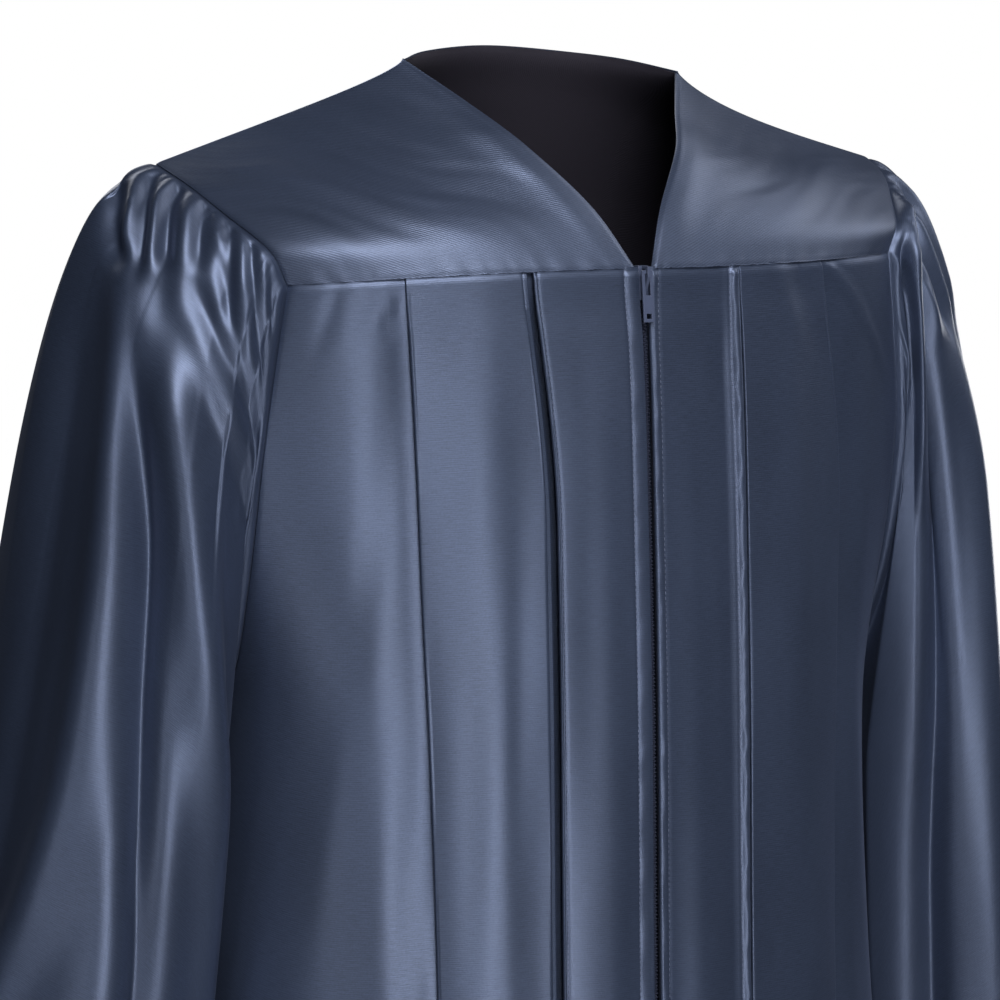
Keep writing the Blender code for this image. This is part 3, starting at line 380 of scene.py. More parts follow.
def neckline(side):
    return curve_through([placed(NECK_POINT, side, -NECK_SAG)]
                         + via(NECKLINE_VIA, side, -NECK_SAG, 0.0) + [placed(V_POINT, side)])


def front_yoke_armhole(side):
    return curve_through([placed(SHOULDER_POINT, side)]
                         + via(FRONT_ARMHOLE_VIA, side, 0.0, CORNER_SAG)
                         + [placed(YOKE_CORNER, side, CORNER_SAG)])


def back_yoke_armhole(side):
    return curve_through([placed(SHOULDER_POINT, side)] + via(BACK_ARMHOLE_VIA, side)
                         + [placed(BACK_CORNER, side)])


def front_panel_armhole(side):
    return curve_through([placed(YOKE_CORNER, side, CORNER_SAG)]
                         + via(FRONT_PANEL_ARMHOLE_VIA, side, CORNER_SAG, 0.0)
                         + [placed(UNDERARM, side)])


def back_panel_armhole(side):
    return curve_through([placed(BACK_CORNER, side)] + via(BACK_PANEL_ARMHOLE_VIA, side)
                         + [placed(UNDERARM, side)])


def back_neckline():
    left = via(BACK_NECK_VIA, 1)
    return curve_through([placed(NECK_POINT, -1, -NECK_SAG)] + via(BACK_NECK_VIA, -1) + [BACK_NECK]
                         + left[::-1] + [placed(NECK_POINT, 1, -NECK_SAG)])


def section_row(centre, edge, column):
    """The body's curve from its centre line to an edge point, met to the whole section."""
    height = centre[2]
    half_width = read(BODY_SECTIONS, 1, height)
    middle = read(BODY_SECTIONS, column, height)
    roundness = read(BODY_SECTIONS, 6, height)
    deep = UNDERARM[1] * MM
    whole = deep + (middle - deep) * (1 - SECTION_MEET ** SECTION_POWER) ** roundness
    drop = (whole - edge[1]) / (centre[1] - edge[1])
    meet_share = SECTION_MEET * half_width / abs(edge[0])
    power = math.log(drop) / math.log(1 - meet_share ** SECTION_POWER)
    share = np.sin(0.5 * np.pi * np.linspace(0, 1, SECTION_STEPS + 1))
    return np.stack((edge[0] * share,
                     edge[1] + (centre[1] - edge[1]) * np.maximum(0, 1 - share ** SECTION_POWER) ** power,
                     centre[2] + (edge[2] - centre[2]) * share ** 2), axis=1)


def seam_row(side, column):
    """The level seam under a yoke: front (2) or back (3)."""
    if column == 2:
        centre = np.array((0.0, V_POINT[1], V_POINT[2])) * MM
        return section_row(centre, np.array(placed(YOKE_CORNER, side, CORNER_SAG)) * MM, 2)
    return section_row(np.array(BACK_SEAM_CENTRE) * MM, np.array(placed(BACK_CORNER, side)) * MM, 3)


def edge_shares(length, inner, close=(0.0, 0.5, 1.1, 2.0, 3.3, 5.0)):
    """Shares of a length with close rows near both of its ends."""
    near = np.array(close) * MM / length
    middle = np.linspace(near[-1], 1 - near[-1], inner + 2)[1:-1]
    return np.concatenate((near, middle, (1 - near)[::-1]))


def coons(top, bottom, left, right, across, down):
    """A patch between four edges, read at these shares."""
    u = across[None, :, None]
    v = down[:, None, None]
    ruled = (top[None] * (1 - v) + bottom[None] * v) + (left[:, None] * (1 - u) + right[:, None] * u)
    corners = ((top[0] * (1 - u) + top[-1] * u) * (1 - v) + (bottom[0] * (1 - u) + bottom[-1] * u) * v)
    return ruled - corners


def drifted(points):
    """Where the front's middle hangs, a little off the neck's middle."""
    near = np.maximum(0.0, 1 - np.abs(points[..., 0]) / DRIFT_REACH)
    in_front = np.clip(-points[..., 1] / DRIFT_DEPTH, 0.0, 1.0)
    moved = points.copy()
    moved[..., 0] += ZIP_DRIFT * near * in_front
    return moved


def grid_normals(grid, closed=False):
    """Smooth normals of a grid of points."""
    down = np.gradient(grid, axis=0)
    if closed:
        wrapped = np.concatenate((grid[:, -1:], grid, grid[:, :1]), axis=1)
        across = (wrapped[:, 2:] - wrapped[:, :-2]) / 2
    else:
        across = np.gradient(grid, axis=1)
    return unit(np.cross(down, across))


def flat_places(grid, closed=False):
    """Each point's place on the flat cloth: across and down, in metres."""
    columns = np.concatenate((grid, grid[:, :1]), axis=1) if closed else grid
    across = np.cumsum(np.linalg.norm(np.diff(columns, axis=1), axis=2), axis=1)
    across = np.concatenate((np.zeros((len(grid), 1)), across), axis=1)
    down = np.cumsum(np.linalg.norm(np.diff(grid, axis=0), axis=2), axis=0)
    down = np.concatenate((np.zeros((1, grid.shape[1])), down), axis=0)
    if closed:
        down = np.concatenate((down, down[:, :1]), axis=1)
    return np.stack((across, down), axis=-1)


def roll_edges(grid, normals, depth, run, sides):
    """Turn a sheet's edges inward a little, as a sewn or pressed edge does."""
    lengths = flat_places(grid)
    down = lengths[..., 1]
    across = lengths[..., 0]
    away = {
        "top": down,
        "bottom": down[-1:] - down,
        "left": across,
        "right": across[:, -1:] - across,
    }
    drop = np.zeros(grid.shape[:2])
    for side in sides:
        drop = np.maximum(drop, np.exp(-(away[side] / run) ** 2))
    return grid - normals * (drop * depth)[..., None]


def tucked(grid, under=TUCK_UNDER):
    """Draw a panel's top edge in and up, under the yoke's lower edge."""
    level = np.stack((grid[..., 0] / BODY_WIDTH ** 2, grid[..., 1] / BODY_DEPTH ** 2,
                      np.zeros(grid.shape[:2])), axis=-1)
    down = flat_places(grid)[..., 1:]
    moved = grid - unit(level) * TUCK_DEPTH * np.exp(-(down / TUCK_RUN) ** 2)
    moved[0, :, 2] += under
    return moved


def with_seam_allowance(grid, normals):
    """Let a front's side edge run on a little way under the back's edge."""
    low = grid[:, -1, 2] < (UNDERARM[2] - 4) * MM
    reach = np.where(low, ALLOWANCE, 0.5 * MM)[:, None]
    strip = grid[:, -1] + unit(grid[:, -1] - grid[:, -3]) * reach - normals[:, -1] * ALLOWANCE_DEPTH
    return (np.concatenate((grid, strip[:, None]), axis=1),
            np.concatenate((normals, normals[:, -1:]), axis=1))


def mesh_from(name, points, quads, places, sharp):
    """A mesh of quads with its flat places as UVs."""
    mesh = bpy.data.meshes.new(name)
    mesh.vertices.add(len(points))
    mesh.vertices.foreach_set("co", points.astype(np.float32).ravel())
    mesh.loops.add(quads.size)
    mesh.loops.foreach_set("vertex_index", quads.astype(np.int32).ravel())
    mesh.polygons.add(len(quads))
    mesh.polygons.foreach_set("loop_start", np.arange(0, quads.size, 4, dtype=np.int32))
    mesh.polygons.foreach_set("use_smooth", np.ones(len(quads), bool))
    mesh.update(calc_edges=True)
    layer = mesh.uv_layers.new(name="flat")
    layer.data.foreach_set("uv", places.astype(np.float32).ravel())
    edges = np.zeros(len(mesh.edges) * 2, np.int32)
    mesh.edges.foreach_get("vertices", edges)
    pairs = sharp[edges.reshape(-1, 2)]
    crease = (pairs[:, 0] > 0) & (pairs[:, 0] == pairs[:, 1])
    mark = mesh.attributes.new("sharp_edge", "BOOLEAN", "EDGE")
    mark.data.foreach_set("value", crease)
    mesh.validate(verbose=False)
    return mesh


def cloth_wall(name, grid, normals, look, thickness, closed=False, drift=True):
    """A closed wall of thin cloth about a grid, with its outer side along the normals."""
    middle = drifted(grid) if drift else grid
    outer = middle + normals * thickness / 2
    inner = middle - normals * thickness / 2
    rows, columns = grid.shape[:2]
    count = rows * columns
    index = np.arange(count).reshape(rows, columns)
    following = np.roll(index, -1, axis=1)
    last = columns if closed else columns - 1
    a, b = index[:-1, :last], following[:-1, :last]
    c, d = following[1:, :last], index[1:, :last]
    front = np.stack((a, d, c, b), axis=-1).reshape(-1, 4)
    back = np.stack((a, b, c, d), axis=-1).reshape(-1, 4) + count
    rims = []
    for row, turned in ((0, False), (rows - 1, True)):
        p, q = index[row, :last], following[row, :last]
        rim = np.stack((p, q, q + count, p + count), axis=-1)
        rims.append(rim[:, ::-1] if turned else rim)
    if not closed:
        for column, turned in ((0, True), (columns - 1, False)):
            p, q = index[:-1, column], index[1:, column]
            rim = np.stack((p, q, q + count, p + count), axis=-1)
            rims.append(rim[:, ::-1] if turned else rim)
    quads = np.vstack([front, back] + rims)
    places = flat_places(grid, closed)
    if closed:
        flat = places[:, :columns]
        end = np.roll(flat, -1, axis=1)
        end[:, -1] = places[:, -1]
        spot_a, spot_b = flat[:-1, :last], end[:-1, :last]
        spot_c, spot_d = end[1:, :last], flat[1:, :last]
    else:
        spot_a, spot_b = places[:-1, :-1], places[:-1, 1:]
        spot_c, spot_d = places[1:, 1:], places[1:, :-1]
    front_uv = np.stack((spot_a, spot_d, spot_c, spot_b), axis=2).reshape(-1, 2)
    back_uv = np.stack((spot_a, spot_b, spot_c, spot_d), axis=2).reshape(-1, 2)
    flat_all = np.concatenate((places[:, :columns].reshape(-1, 2),) * 2)
    rim_uv = flat_all[np.vstack(rims).ravel()]
    uvs = np.vstack((front_uv, back_uv, rim_uv))
    points = np.vstack((outer.reshape(-1, 3), inner.reshape(-1, 3)))
    sharp = np.zeros((2, rows, columns), np.int32)
    for layer in (0, 1):
        sharp[layer, (0, -1), :] = layer + 1
        if not closed:
            sharp[layer, :, (0, -1)] = layer + 1
    mesh = mesh_from(name, points, quads, uvs, sharp.ravel())
    volume = signed_volume(points, quads)
    if volume < 0:
        mesh.flip_normals()
    piece = bpy.data.objects.new(name, mesh)
    mesh.materials.append(look)
    bpy.context.scene.collection.objects.link(piece)
    return piece


def signed_volume(points, quads):
    a, b, c, d = (points[quads[:, k]] for k in range(4))
    one = np.einsum("ij,ij->i", a, np.cross(b, c))
    two = np.einsum("ij,ij->i", a, np.cross(c, d))
    return float((one + two).sum() / 6)


def pointed(normals, grid, inside):
    """Turn normals away from a point inside the garment."""
    row, column = grid.shape[0] // 2, grid.shape[1] // 2
    away = grid[row, column] - np.array(inside)
    return -normals if normals[row, column] @ away < 0 else normals


def front_yoke_grid(side):
    """The front yoke from its neckline out to the armhole, top row at the shoulder."""
    across = edge_shares(0.16, 46)
    down = edge_shares(0.12, 40)
    top = shoulder_seam(side, across)
    whole = seam_row(side, 2)
    start = np.array(placed(V_POINT, side)) * MM
    bottom_path = np.vstack((start, whole[np.abs(whole[:, 0]) > abs(start[0]) + 1 * MM]))
    top_shares = lengths_of(top) / lengths_of(top)[-1]
    bottom = along(bottom_path, top_shares)
    left = along(neckline(side), down)
    right = along(front_yoke_armhole(side), down)
    return coons(top, bottom, left, right, top_shares, down)


def back_yoke_grid():
    """The whole back yoke, from the wearer's right to the left."""
    shoulder = edge_shares(0.16, 34)
    neck = np.linspace(0, 1, 46)[1:-1]
    down = edge_shares(0.15, 44)
    top = np.vstack((shoulder_seam(-1, shoulder)[::-1], along(back_neckline(), neck),
                     shoulder_seam(1, shoulder)))
    whole = np.vstack((seam_row(-1, 3)[::-1][:-1], seam_row(1, 3)))
    shares = lengths_of(top) / lengths_of(top)[-1]
    bottom = along(whole, shares)
    left = along(back_yoke_armhole(-1), down)
    right = along(back_yoke_armhole(1), down)
    return coons(top, bottom, left, right, shares, down)


class Stations:
    """Columns of a pleated panel: a place along the row and how many layers deep."""

    def __init__(self, lines):
        self.lines = lines
        self.weights = []
        self.offsets = []
        self.turns = []
        self.layers = []
        self.spans = []

    def put(self, weights, offset, turn, layer, span):
        row = [0.0] * self.lines
        for line, share in weights:
            row[line] += share
        self.weights.append(row)
        self.offsets.append(offset)
        self.turns.append(turn)
        self.layers.append(layer)
        self.spans.append(span)

    def flat(self, first, second, start, end, count):
        """Even columns on the flat cloth between two lines, set in by start and end."""
        for share in np.linspace(0, 1, count):
            offset = (1 - share) * start - share * end
            self.put(((first, 1 - share), (second, share)), offset, 0.0, 0.0, first)

    def beside(self, line, offsets, span):
        """Columns at these distances from a line, on the surface."""
        for offset in offsets:
            self.put(((line, 1.0),), offset * MM, 0.0, 0.0, span)

    def turn_over(self, line, offset, pointing, first, second, count=9):
        """A fold's edge: from one layer to another, pointing outward (1) or inward (-1)."""
        for angle in np.linspace(0, math.pi, count):
            turn = pointing * (math.sin(angle) - 1) * abs(second - first)
            layer = first + (second - first) * (1 - math.cos(angle)) / 2
            self.put(((line, 1.0),), offset, turn, layer, -1)


def front_stations(side):
    """Lines: 0 fly edge, 1 pleat B, 2 pleat A, 3 armhole or side edge."""
    half = PLEAT_OPENING[side] / 2
    rim = half / MM
    stations = Stations(4)
    for share in (0.0, 0.35, 0.7):
        stations.put(((0, 1.0),), FLY_TURN * (1 - share), 0.0, 1.0, -1)
    stations.turn_over(0, 0.0, -1, 1.0, 0.0)
    stations.beside(0, (1.9, 2.8, 3.6, 4.3, 5.0, 5.7, 6.6, 7.4, 8.0, 8.5, 9.0, 9.7, 10.8, 12.5), 0)
    stations.flat(0, 1, 15 * MM, 17 * MM, 16)
    stations.beside(1, [-rim - step for step in (11.4, 9.4, 7.8, 6.3, 5.1, 4.1, 3.3, 2.7, 2.2, 1.7, 1.2, 0.8)], 0)
    stations.turn_over(1, -half, 1, 0.0, 1.0, 11)
    stations.turn_over(1, -half - PLEAT_B_DEPTH, -1, 1.0, 2.0, 5)
    for offset, layer in ((-12.0, 5.0), (-8.0, 6.0), (-4.0, 5.9), (0.0, 4.8), (4.0, 3.5), (8.0, 2.5), (12.0, 2.1)):
        stations.put(((1, 1.0),), offset * MM, 0.0, layer, -1)
    stations.turn_over(1, half + PLEAT_B_DEPTH, 1, 2.0, 1.6, 5)
    stations.turn_over(1, WELT_PLACE[side], -1, 1.6, 1.0, 9)
    stations.turn_over(1, BAND_EDGE[side] + 6 * MM, 1, 1.0, 0.5, 5)
    stations.turn_over(1, BAND_EDGE[side], -1, 0.5, 0.0, 9)
    edge = BAND_EDGE[side] / MM
    stations.beside(1, [edge + step for step in (0.9, 1.7, 2.9, 4.5, 6.6, 9.1)], 1)
    stations.flat(1, 2, 14.5 * MM, 12 * MM, 20)
    stations.beside(2, (-10.0, -8.0, -6.2, -4.6, -3.2, -2.2, -1.5), 1)
    stations.turn_over(2, 0.0, 1, 0.0, 1.0, 11)
    stations.turn_over(2, -PLEAT_A_DEPTH, -1, 1.0, 2.0, 5)
    for offset, layer in ((-10, 2.0), (-3, 2.0), (1, 2.0), (2.5, 1.96), (4, 1.88), (6, 1.72),
                          (8, 1.5), (10, 1.26), (12, 1.04), (14, 0.84), (17, 0.58), (20, 0.36),
                          (24, 0.16), (28, 0.04)):
        stations.put(((2, 1.0),), offset * MM, 0.0, layer, 2)
    stations.flat(2, 3, 33 * MM, 9 * MM, 18)
    stations.beside(3, (-6.8, -5.0, -3.3, -2.0, -1.1, -0.5, 0.0), 2)
    return stations


def back_stations():
    """Lines: 0 centre back, three knife pleats, 4 outer edge."""
    stations = Stations(5)
    stations.flat(0, 1, 0.0, 8 * MM, 10)
    for line in (1, 2, 3):
        stations.beside(line, (-6.0, -4.4, -3.0, -2.0, -1.4), line - 1)
        stations.turn_over(line, 0.0, 1, 0.0, 1.0, 9)
        stations.turn_over(line, -BACK_PLEAT_DEPTH, -1, 1.0, 2.0, 5)
        for offset, layer in ((-4, 2.0), (1, 2.0), (4, 1.85), (8, 1.4), (12, 0.9), (16, 0.5), (20, 0.2)):
            stations.put(((line, 1.0),), offset * MM, 0.0, layer, line)
        stations.flat(line, line + 1, 25 * MM, 8 * MM, 9)
    stations.beside(4, (-6.8, -5.0, -3.3, -2.0, -1.1, -0.5, 0.0), 3)
    return stations


def panel_row(row, lines, stations, ripple):
    """One row of a panel: the level curve with its pleats folded inward."""
    height = row[0, 2]
    opened = float(smooth_step((V_POINT[2] * MM - height) / SQUEEZE_RUN))
    squeeze = SEAM_SQUEEZE + (1 - SEAM_SQUEEZE) * opened
    spacing = float(read(BODY_SECTIONS, 4, height)) * squeeze
    bulge = float(read(BODY_SECTIONS, 5, height))
    lengths = lengths_of(row)
    places = [float(np.interp(line, np.abs(row[:, 0]), lengths)) for line in lines] + [lengths[-1]]
    places = np.array(places)
    weights = np.array(stations.weights)
    turns = np.array(stations.turns)
    layers = np.array(stations.layers)
    spans = np.array(stations.spans)
    gap = np.where(weights[:, 0] == 1.0, FOLD_SPACING * squeeze, spacing)
    way = weights @ places + np.array(stations.offsets) + turns * FOLD_ROUNDING * gap
    depth = layers * gap
    on_span = spans >= 0
    low = places[np.maximum(spans, 0)]
    high = places[np.maximum(spans, 0) + 1]
    share = np.clip((way - low) / (high - low), 0.0, 1.0)
    rounding = np.sin(np.pi * share) * smooth_step((way - low - 3 * MM) / (24 * MM))
    depth = depth - np.where(on_span, bulge * rounding, 0.0)
    inside_pleat = (way < places[1]) & (weights[:, 1] > 0)
    depth = depth - np.where(on_span | inside_pleat, ripple(way, places, spans, height), 0.0)
    goal = np.clip(way, 0.0, lengths[-1])
    step = 1.2 * MM
    point = np.stack([np.interp(goal, lengths, row[:, k]) for k in range(3)], axis=1)
    ahead = np.stack([np.interp(np.minimum(goal + step, lengths[-1]), lengths, row[:, k])
                      for k in range(2)], axis=1)
    behind = np.stack([np.interp(np.maximum(goal - step, 0.0), lengths, row[:, k])
                       for k in range(2)], axis=1)
    run = ahead - behind
    inward = unit(np.stack((-run[:, 1], run[:, 0], np.zeros(len(run))), axis=1))
    facing = np.sum(inward[:, :2] * point[:, :2], axis=1)
    inward = np.where(facing[:, None] > 0, -inward, inward)
    return point + inward * depth[:, None]


def body_rows(side, column, armhole_rows, heights):
    """Level curves of half the front (2) or the back (3), from the yoke seam down."""
    armhole = front_panel_armhole(side) if column == 2 else back_panel_armhole(side)
    edges = along(armhole, armhole_rows)
    first = seam_row(side, column)
    start = first[0, 2] - first[-1, 2]
    rows = [first]
    coarse = 1 / 6 if column == 2 else 1 / 5
    for share, edge in zip(armhole_rows[1:], edges[1:]):
        lift = start * max(0.0, 1 - share / coarse)
        height = edge[2] + lift
        blend = smooth_step(share / coarse)
        middle = float(read(BODY_SECTIONS, column, height)) * blend + first[0, 1] * (1 - blend)
        rows.append(section_row(np.array((0.0, middle, height)), edge, column))
    for height in heights:
        edge = np.array((float(read(BODY_SECTIONS, 1, height)) * side, UNDERARM[1] * MM, height))
        middle = np.array((0.0, float(read(BODY_SECTIONS, column, height)), height))
        rows.append(section_row(middle, edge, column))
    return eased(rows)


def eased(rows):
    """Ease the level curves into each other below the seam, away from their outer ends."""
    block = np.array(rows)
    share = np.linspace(0, 1, block.shape[1])
    weight = smooth_step((0.97 - share) / 0.25)[None, :, None]
    first = EASE_FROM
    for _ in range(EASE_TURNS):
        mean = block.copy()
        mean[first:-1] = (block[first - 1:-2] + 2 * block[first:-1] + block[first + 1:]) / 4
        block = block + (mean - block) * weight
    return list(block)


def fine_heights():
    """Heights of the rows below the underarm, closer where the photograph looks."""
    under = UNDERARM[2] * MM
    upper = np.linspace(under, -0.60, 46)[1:]
    lower = np.linspace(-0.60, HEM, 46)[1:]
    return np.concatenate((upper, lower))


def seam_rows():
    close = np.array((0.0, 0.6, 1.3, 2.3, 3.6, 5.4)) * MM / 0.24
    return np.concatenate((close, np.linspace(close[-1], 1, 46)[1:]))


def pressed_strip(distance, stitch, rise):
    """The puff of a folded edge, up to its row of stitching, and the groove there."""
    puff = np.where((distance > 0) & (distance < stitch),
                    np.sin(np.pi * np.clip(distance / stitch, 0, 1)), 0.0)
    groove = np.exp(-((distance - stitch) / (1.0 * MM)) ** 2)
    return rise * puff - 0.3 * MM * groove


def front_ripple(side, settings):
    """How far the cloth of a front stands off its form, by place and height."""
    creases = np.array(PANEL_CREASES[side], float)
    rise = settings.edge_puff

    def ripple(way, places, spans, height):
        off = np.zeros(len(way))
        if height < 0:
            pucker = 1 + 0.5 * math.sin(height * 900) + 0.4 * math.sin(height * 1500 + 1)
            off += np.where(spans == 0, pressed_strip(way - places[0], FLY_STITCH[side], rise * pucker), 0.0)
            off += np.where(spans == 0, pressed_strip(
                places[1] - PLEAT_OPENING[side] / 2 - way, PLEAT_STITCH[side], PLEAT_PUFF[side] * pucker), 0.0)
            inner = np.clip((way - places[0]) / (places[1] - places[0]), 0.0, 1.0)
            hollow = np.clip(inner / 0.8, 0.0, 1.0) * np.clip((0.985 - inner) / 0.17, 0.0, 1.0)
            below = 0.25 + 0.75 * smooth_step((V_POINT[2] * MM - height) / TILT_RUN)
            off -= LEFT_TILT[side] * hollow * below
        for across, level, slope, half_length, half_width, lift in creases:
            angle = math.radians(slope)
            x = way - (across * MM)
            z = height - level * MM
            longways = x * math.cos(angle) * 1.0 - z * math.sin(angle)
            sideways = x * math.sin(angle) + z * math.cos(angle)
            off += lift * MM * settings.crease_share * np.exp(
                -(longways / (half_length * MM)) ** 2 - (sideways / (half_width * MM)) ** 2)
        waver = 0.35 * MM * np.sin(way * 61.0 + height * 17.0) * np.sin(height * 11.0 + way * 23.0)
        return off + waver

    return ripple


def plain_ripple(way, places, spans, height):
    """Slow unevenness of the cloth at the back."""
    return 0.6 * MM * np.sin(way * 47.0 + height * 13.0) * np.sin(height * 9.0 + way * 19.0)


def front_panel_grid(side, settings):
    stations = front_stations(side)
    rows = body_rows(side, 2, seam_rows(), fine_heights())
    ripple = front_ripple(side, settings)
    grid = []
    for row in rows:
        height = row[0, 2]
        lines = [max(float(read(FLY_GAP, 1, height)) - FLY_CLOSE, 1.05 * MM)]
        lines += [float(read(FRONT_PLEATS[side], k, height)) for k in (1, 2)]
        grid.append(panel_row(row, lines, stations, ripple))
    return np.array(grid), stations


def back_panel_grid():
    stations = back_stations()
    shares = seam_rows()
    halves = []
    for side in (-1, 1):
        half = []
        for row in body_rows(side, 3, shares, fine_heights()):
            lines = [0.0] + [float(read(BACK_PLEATS, k, row[0, 2])) for k in (1, 2, 3)]
            half.append(panel_row(row, lines, stations, plain_ripple))
        halves.append(np.array(half))
    return np.concatenate((halves[0][:, ::-1], halves[1][:, 1:]), axis=1)


def body_half_width(y, height):
    """How far out the body's wall lies at this place."""
    half_width = read(BODY_SECTIONS, 1, height)
    centre = np.where(y < UNDERARM[1] * MM, read(BODY_SECTIONS, 2, height), read(BODY_SECTIONS, 3, height))
    power = read(BODY_SECTIONS, 6, height) / MM / 1000
    reach = np.clip((y - UNDERARM[1] * MM) / (centre - UNDERARM[1] * MM), 0.0, 1.0)
    return half_width * (1 - reach ** (1 / power)) ** (1 / SECTION_POWER)


def clear_of_body(points, side):
    """Move sleeve points outward where they come too near the body's side."""
    below = np.clip((UNDERARM[2] * MM - points[..., 2]) / CLEARANCE_RUN, 0.0, 1.0)
    clearance = SLEEVE_CLEARANCE + read(BODY_SECTIONS, 5, points[..., 2])
    limit = body_half_width(points[..., 1], points[..., 2]) + clearance * below
    out = points[..., 0] * side
    moved = points.copy()
    moved[..., 0] = np.where((below > 0) & (out < limit), limit, out) * side
    return moved


def sleeve_section(angle, height, side):
    """Points of the sleeve below the cap: 0 is outermost, 90 degrees in front."""
    centre_x = read(SLEEVE_SECTIONS, 1, height)
    centre_y = read(SLEEVE_SECTIONS, 2, height)
    half_width = read(SLEEVE_SECTIONS, 3, height)
    half_depth = read(SLEEVE_SECTIONS, 4, height)
    turn = np.radians(read(SLEEVE_SECTIONS, 5, height) / MM)
    across = half_width * np.cos(angle)
    length = -half_depth * np.sin(angle)
    x = centre_x + across * np.cos(turn) - length * np.sin(turn)
    y = centre_y + across * np.sin(turn) + length * np.cos(turn)
    return np.stack((x * side, y, np.broadcast_to(height, x.shape)), axis=-1)


def armhole_point(side, turns):
    """Points of the armhole by turn: down the front from the shoulder and up the back."""
    spans = (
        (front_yoke_armhole(side), FRONT_YOKE_TURN, False),
        (front_panel_armhole(side), FRONT_PANEL_TURN, False),
        (back_panel_armhole(side), BACK_PANEL_TURN, True),
        (back_yoke_armhole(side), BACK_YOKE_TURN, True),
    )
    points = np.zeros((len(turns), 3))
    start = 0.0
    for path, size, reverse in spans:
        inside = (turns >= start) & (turns <= start + size)
        share = (turns[inside] - start) / size
        points[inside] = along(path[::-1] if reverse else path, share)
        start += size
    return points


def armhole_frames(side, turns):
    """At each turn: across the seam, and out of the cloth."""
    marks = np.concatenate((np.arange(0, 21, 3), np.arange(21, 43, 2), np.arange(43, 64, 3)))
    ring = armhole_point(side, marks.astype(float))
    run = unit(np.roll(ring, -1, axis=0) - np.roll(ring, 1, axis=0))
    across = np.zeros_like(run)
    across[:, 0] = side
    across = unit(across - run * np.sum(across * run, axis=1, keepdims=True))
    out = unit(np.cross(run, across)) * side
    marks = np.concatenate((marks, [WHOLE_TURN]))
    across = np.vstack((across, across[:1]))
    out = np.vstack((out, out[:1]))
    both = []
    for vectors in (across, out):
        both.append(unit(np.stack([np.interp(turns, marks, vectors[:, k]) for k in range(3)], axis=1)))
    return both


def sleeve_grid(side, columns, settings):
    """Columns run round the armhole, rows from the armhole to the cuff."""
    fine = int(columns * 0.62)
    turns = np.concatenate((np.arange(fine) * FINE_TURNS / fine,
                            np.linspace(FINE_TURNS, WHOLE_TURN, columns - fine + 1)[:-1]))
    start = armhole_point(side, turns)
    across, out = armhole_frames(side, turns)
    angle = 2 * np.pi * turns / WHOLE_TURN
    under = 0.5 - 0.5 * np.cos(angle)
    reach = CAP_REACH_TOP[side] + (CAP_REACH_UNDER - CAP_REACH_TOP[side]) * under ** 0.7
    fall = CAP_FALL_TOP + (CAP_FALL_UNDER - CAP_FALL_TOP) * under ** 1.2
    lift = CAP_LIFT_TOP[side] + (CAP_LIFT_UNDER - CAP_LIFT_TOP[side]) * under ** 4
    leave = unit(across + out * lift[:, None]) * reach[:, None]
    top = SLEEVE_SECTIONS[0][0] * MM
    cuff = SLEEVE_SECTIONS[-1][0] * MM
    end = clear_of_body(sleeve_section(angle, np.full(columns, top), side), side)
    lower = clear_of_body(sleeve_section(angle, np.full(columns, top - CAP_RUN_IN), side), side)
    arrive = unit(lower - end) * fall[:, None]
    cap_steps = np.concatenate(((0.0, 0.003, 0.007, 0.013, 0.02), np.linspace(0.028, 0.5, 74),
                                np.linspace(0.5, 1, 34)[1:]))
    low_steps = np.linspace(0, 1, 26)[1:]
    rows = []
    for t in cap_steps:
        rows.append(start * (2 * t ** 3 - 3 * t * t + 1) + leave * (t ** 3 - 2 * t * t + t)
                    + end * (3 * t * t - 2 * t ** 3) + arrive * (t ** 3 - t * t))
    for t in low_steps:
        rows.append(sleeve_section(angle, np.full(columns, top + (cuff - top) * t), side))
    grid = clear_of_body(np.array(rows), side)
    steps = np.concatenate((cap_steps, 1 + low_steps))
    return sleeve_folds(grid, steps, turns, side, settings), start, across, out


def sleeve_lines(side):
    """The folds in front, those of the back, and small ones mirrored round the back."""
    lines = list(SLEEVE_LINES[side]) + list(BACK_LINES)
    for rise, start, end, run_in, path in SLEEVE_LINES[-side]:
        if abs(rise) < SMALL_FOLD and path[0][1] > 1:
            turned = tuple((height, WHOLE_TURN - turn) for height, turn in path)
            lines.append((rise * 0.9, start * 1.3, end * 1.3, run_in, turned))
    return lines


def one_fold(grid, turns, arc, rise, start, end, run_in, path):
    """How far one fold lifts each point of the sleeve."""
    z = grid[..., 2]
    low, high = path[-1][0] * MM, path[0][0] * MM
    centre = read(path, 1, z) / MM
    share = np.clip((high - z) / (high - low), 0.0, 1.0)
    half = (start + (end - start) * share) * MM
    away = (turns[None, :] - centre + WHOLE_TURN / 2) % WHOLE_TURN - WHOLE_TURN / 2
    step = 2 * MM
    slope = (read(path, 1, z + step) - read(path, 1, z - step)) / MM / (2 * step) * arc
    distance = away * arc / np.sqrt(1 + slope ** 2)
    power = 2.0 if rise > 0 else 1.8
    shape = np.exp(-np.abs(distance / half) ** power)
    begins = smooth_step((high + 6 * MM - z) / (run_in * MM + 8 * MM))
    run_out = max(0.35 * (high - low), 12 * MM)
    ends = 1.0 if low <= SLEEVE_SECTIONS[-1][0] * MM else smooth_step((z - low) / run_out)
    return rise * MM * shape * begins * ends


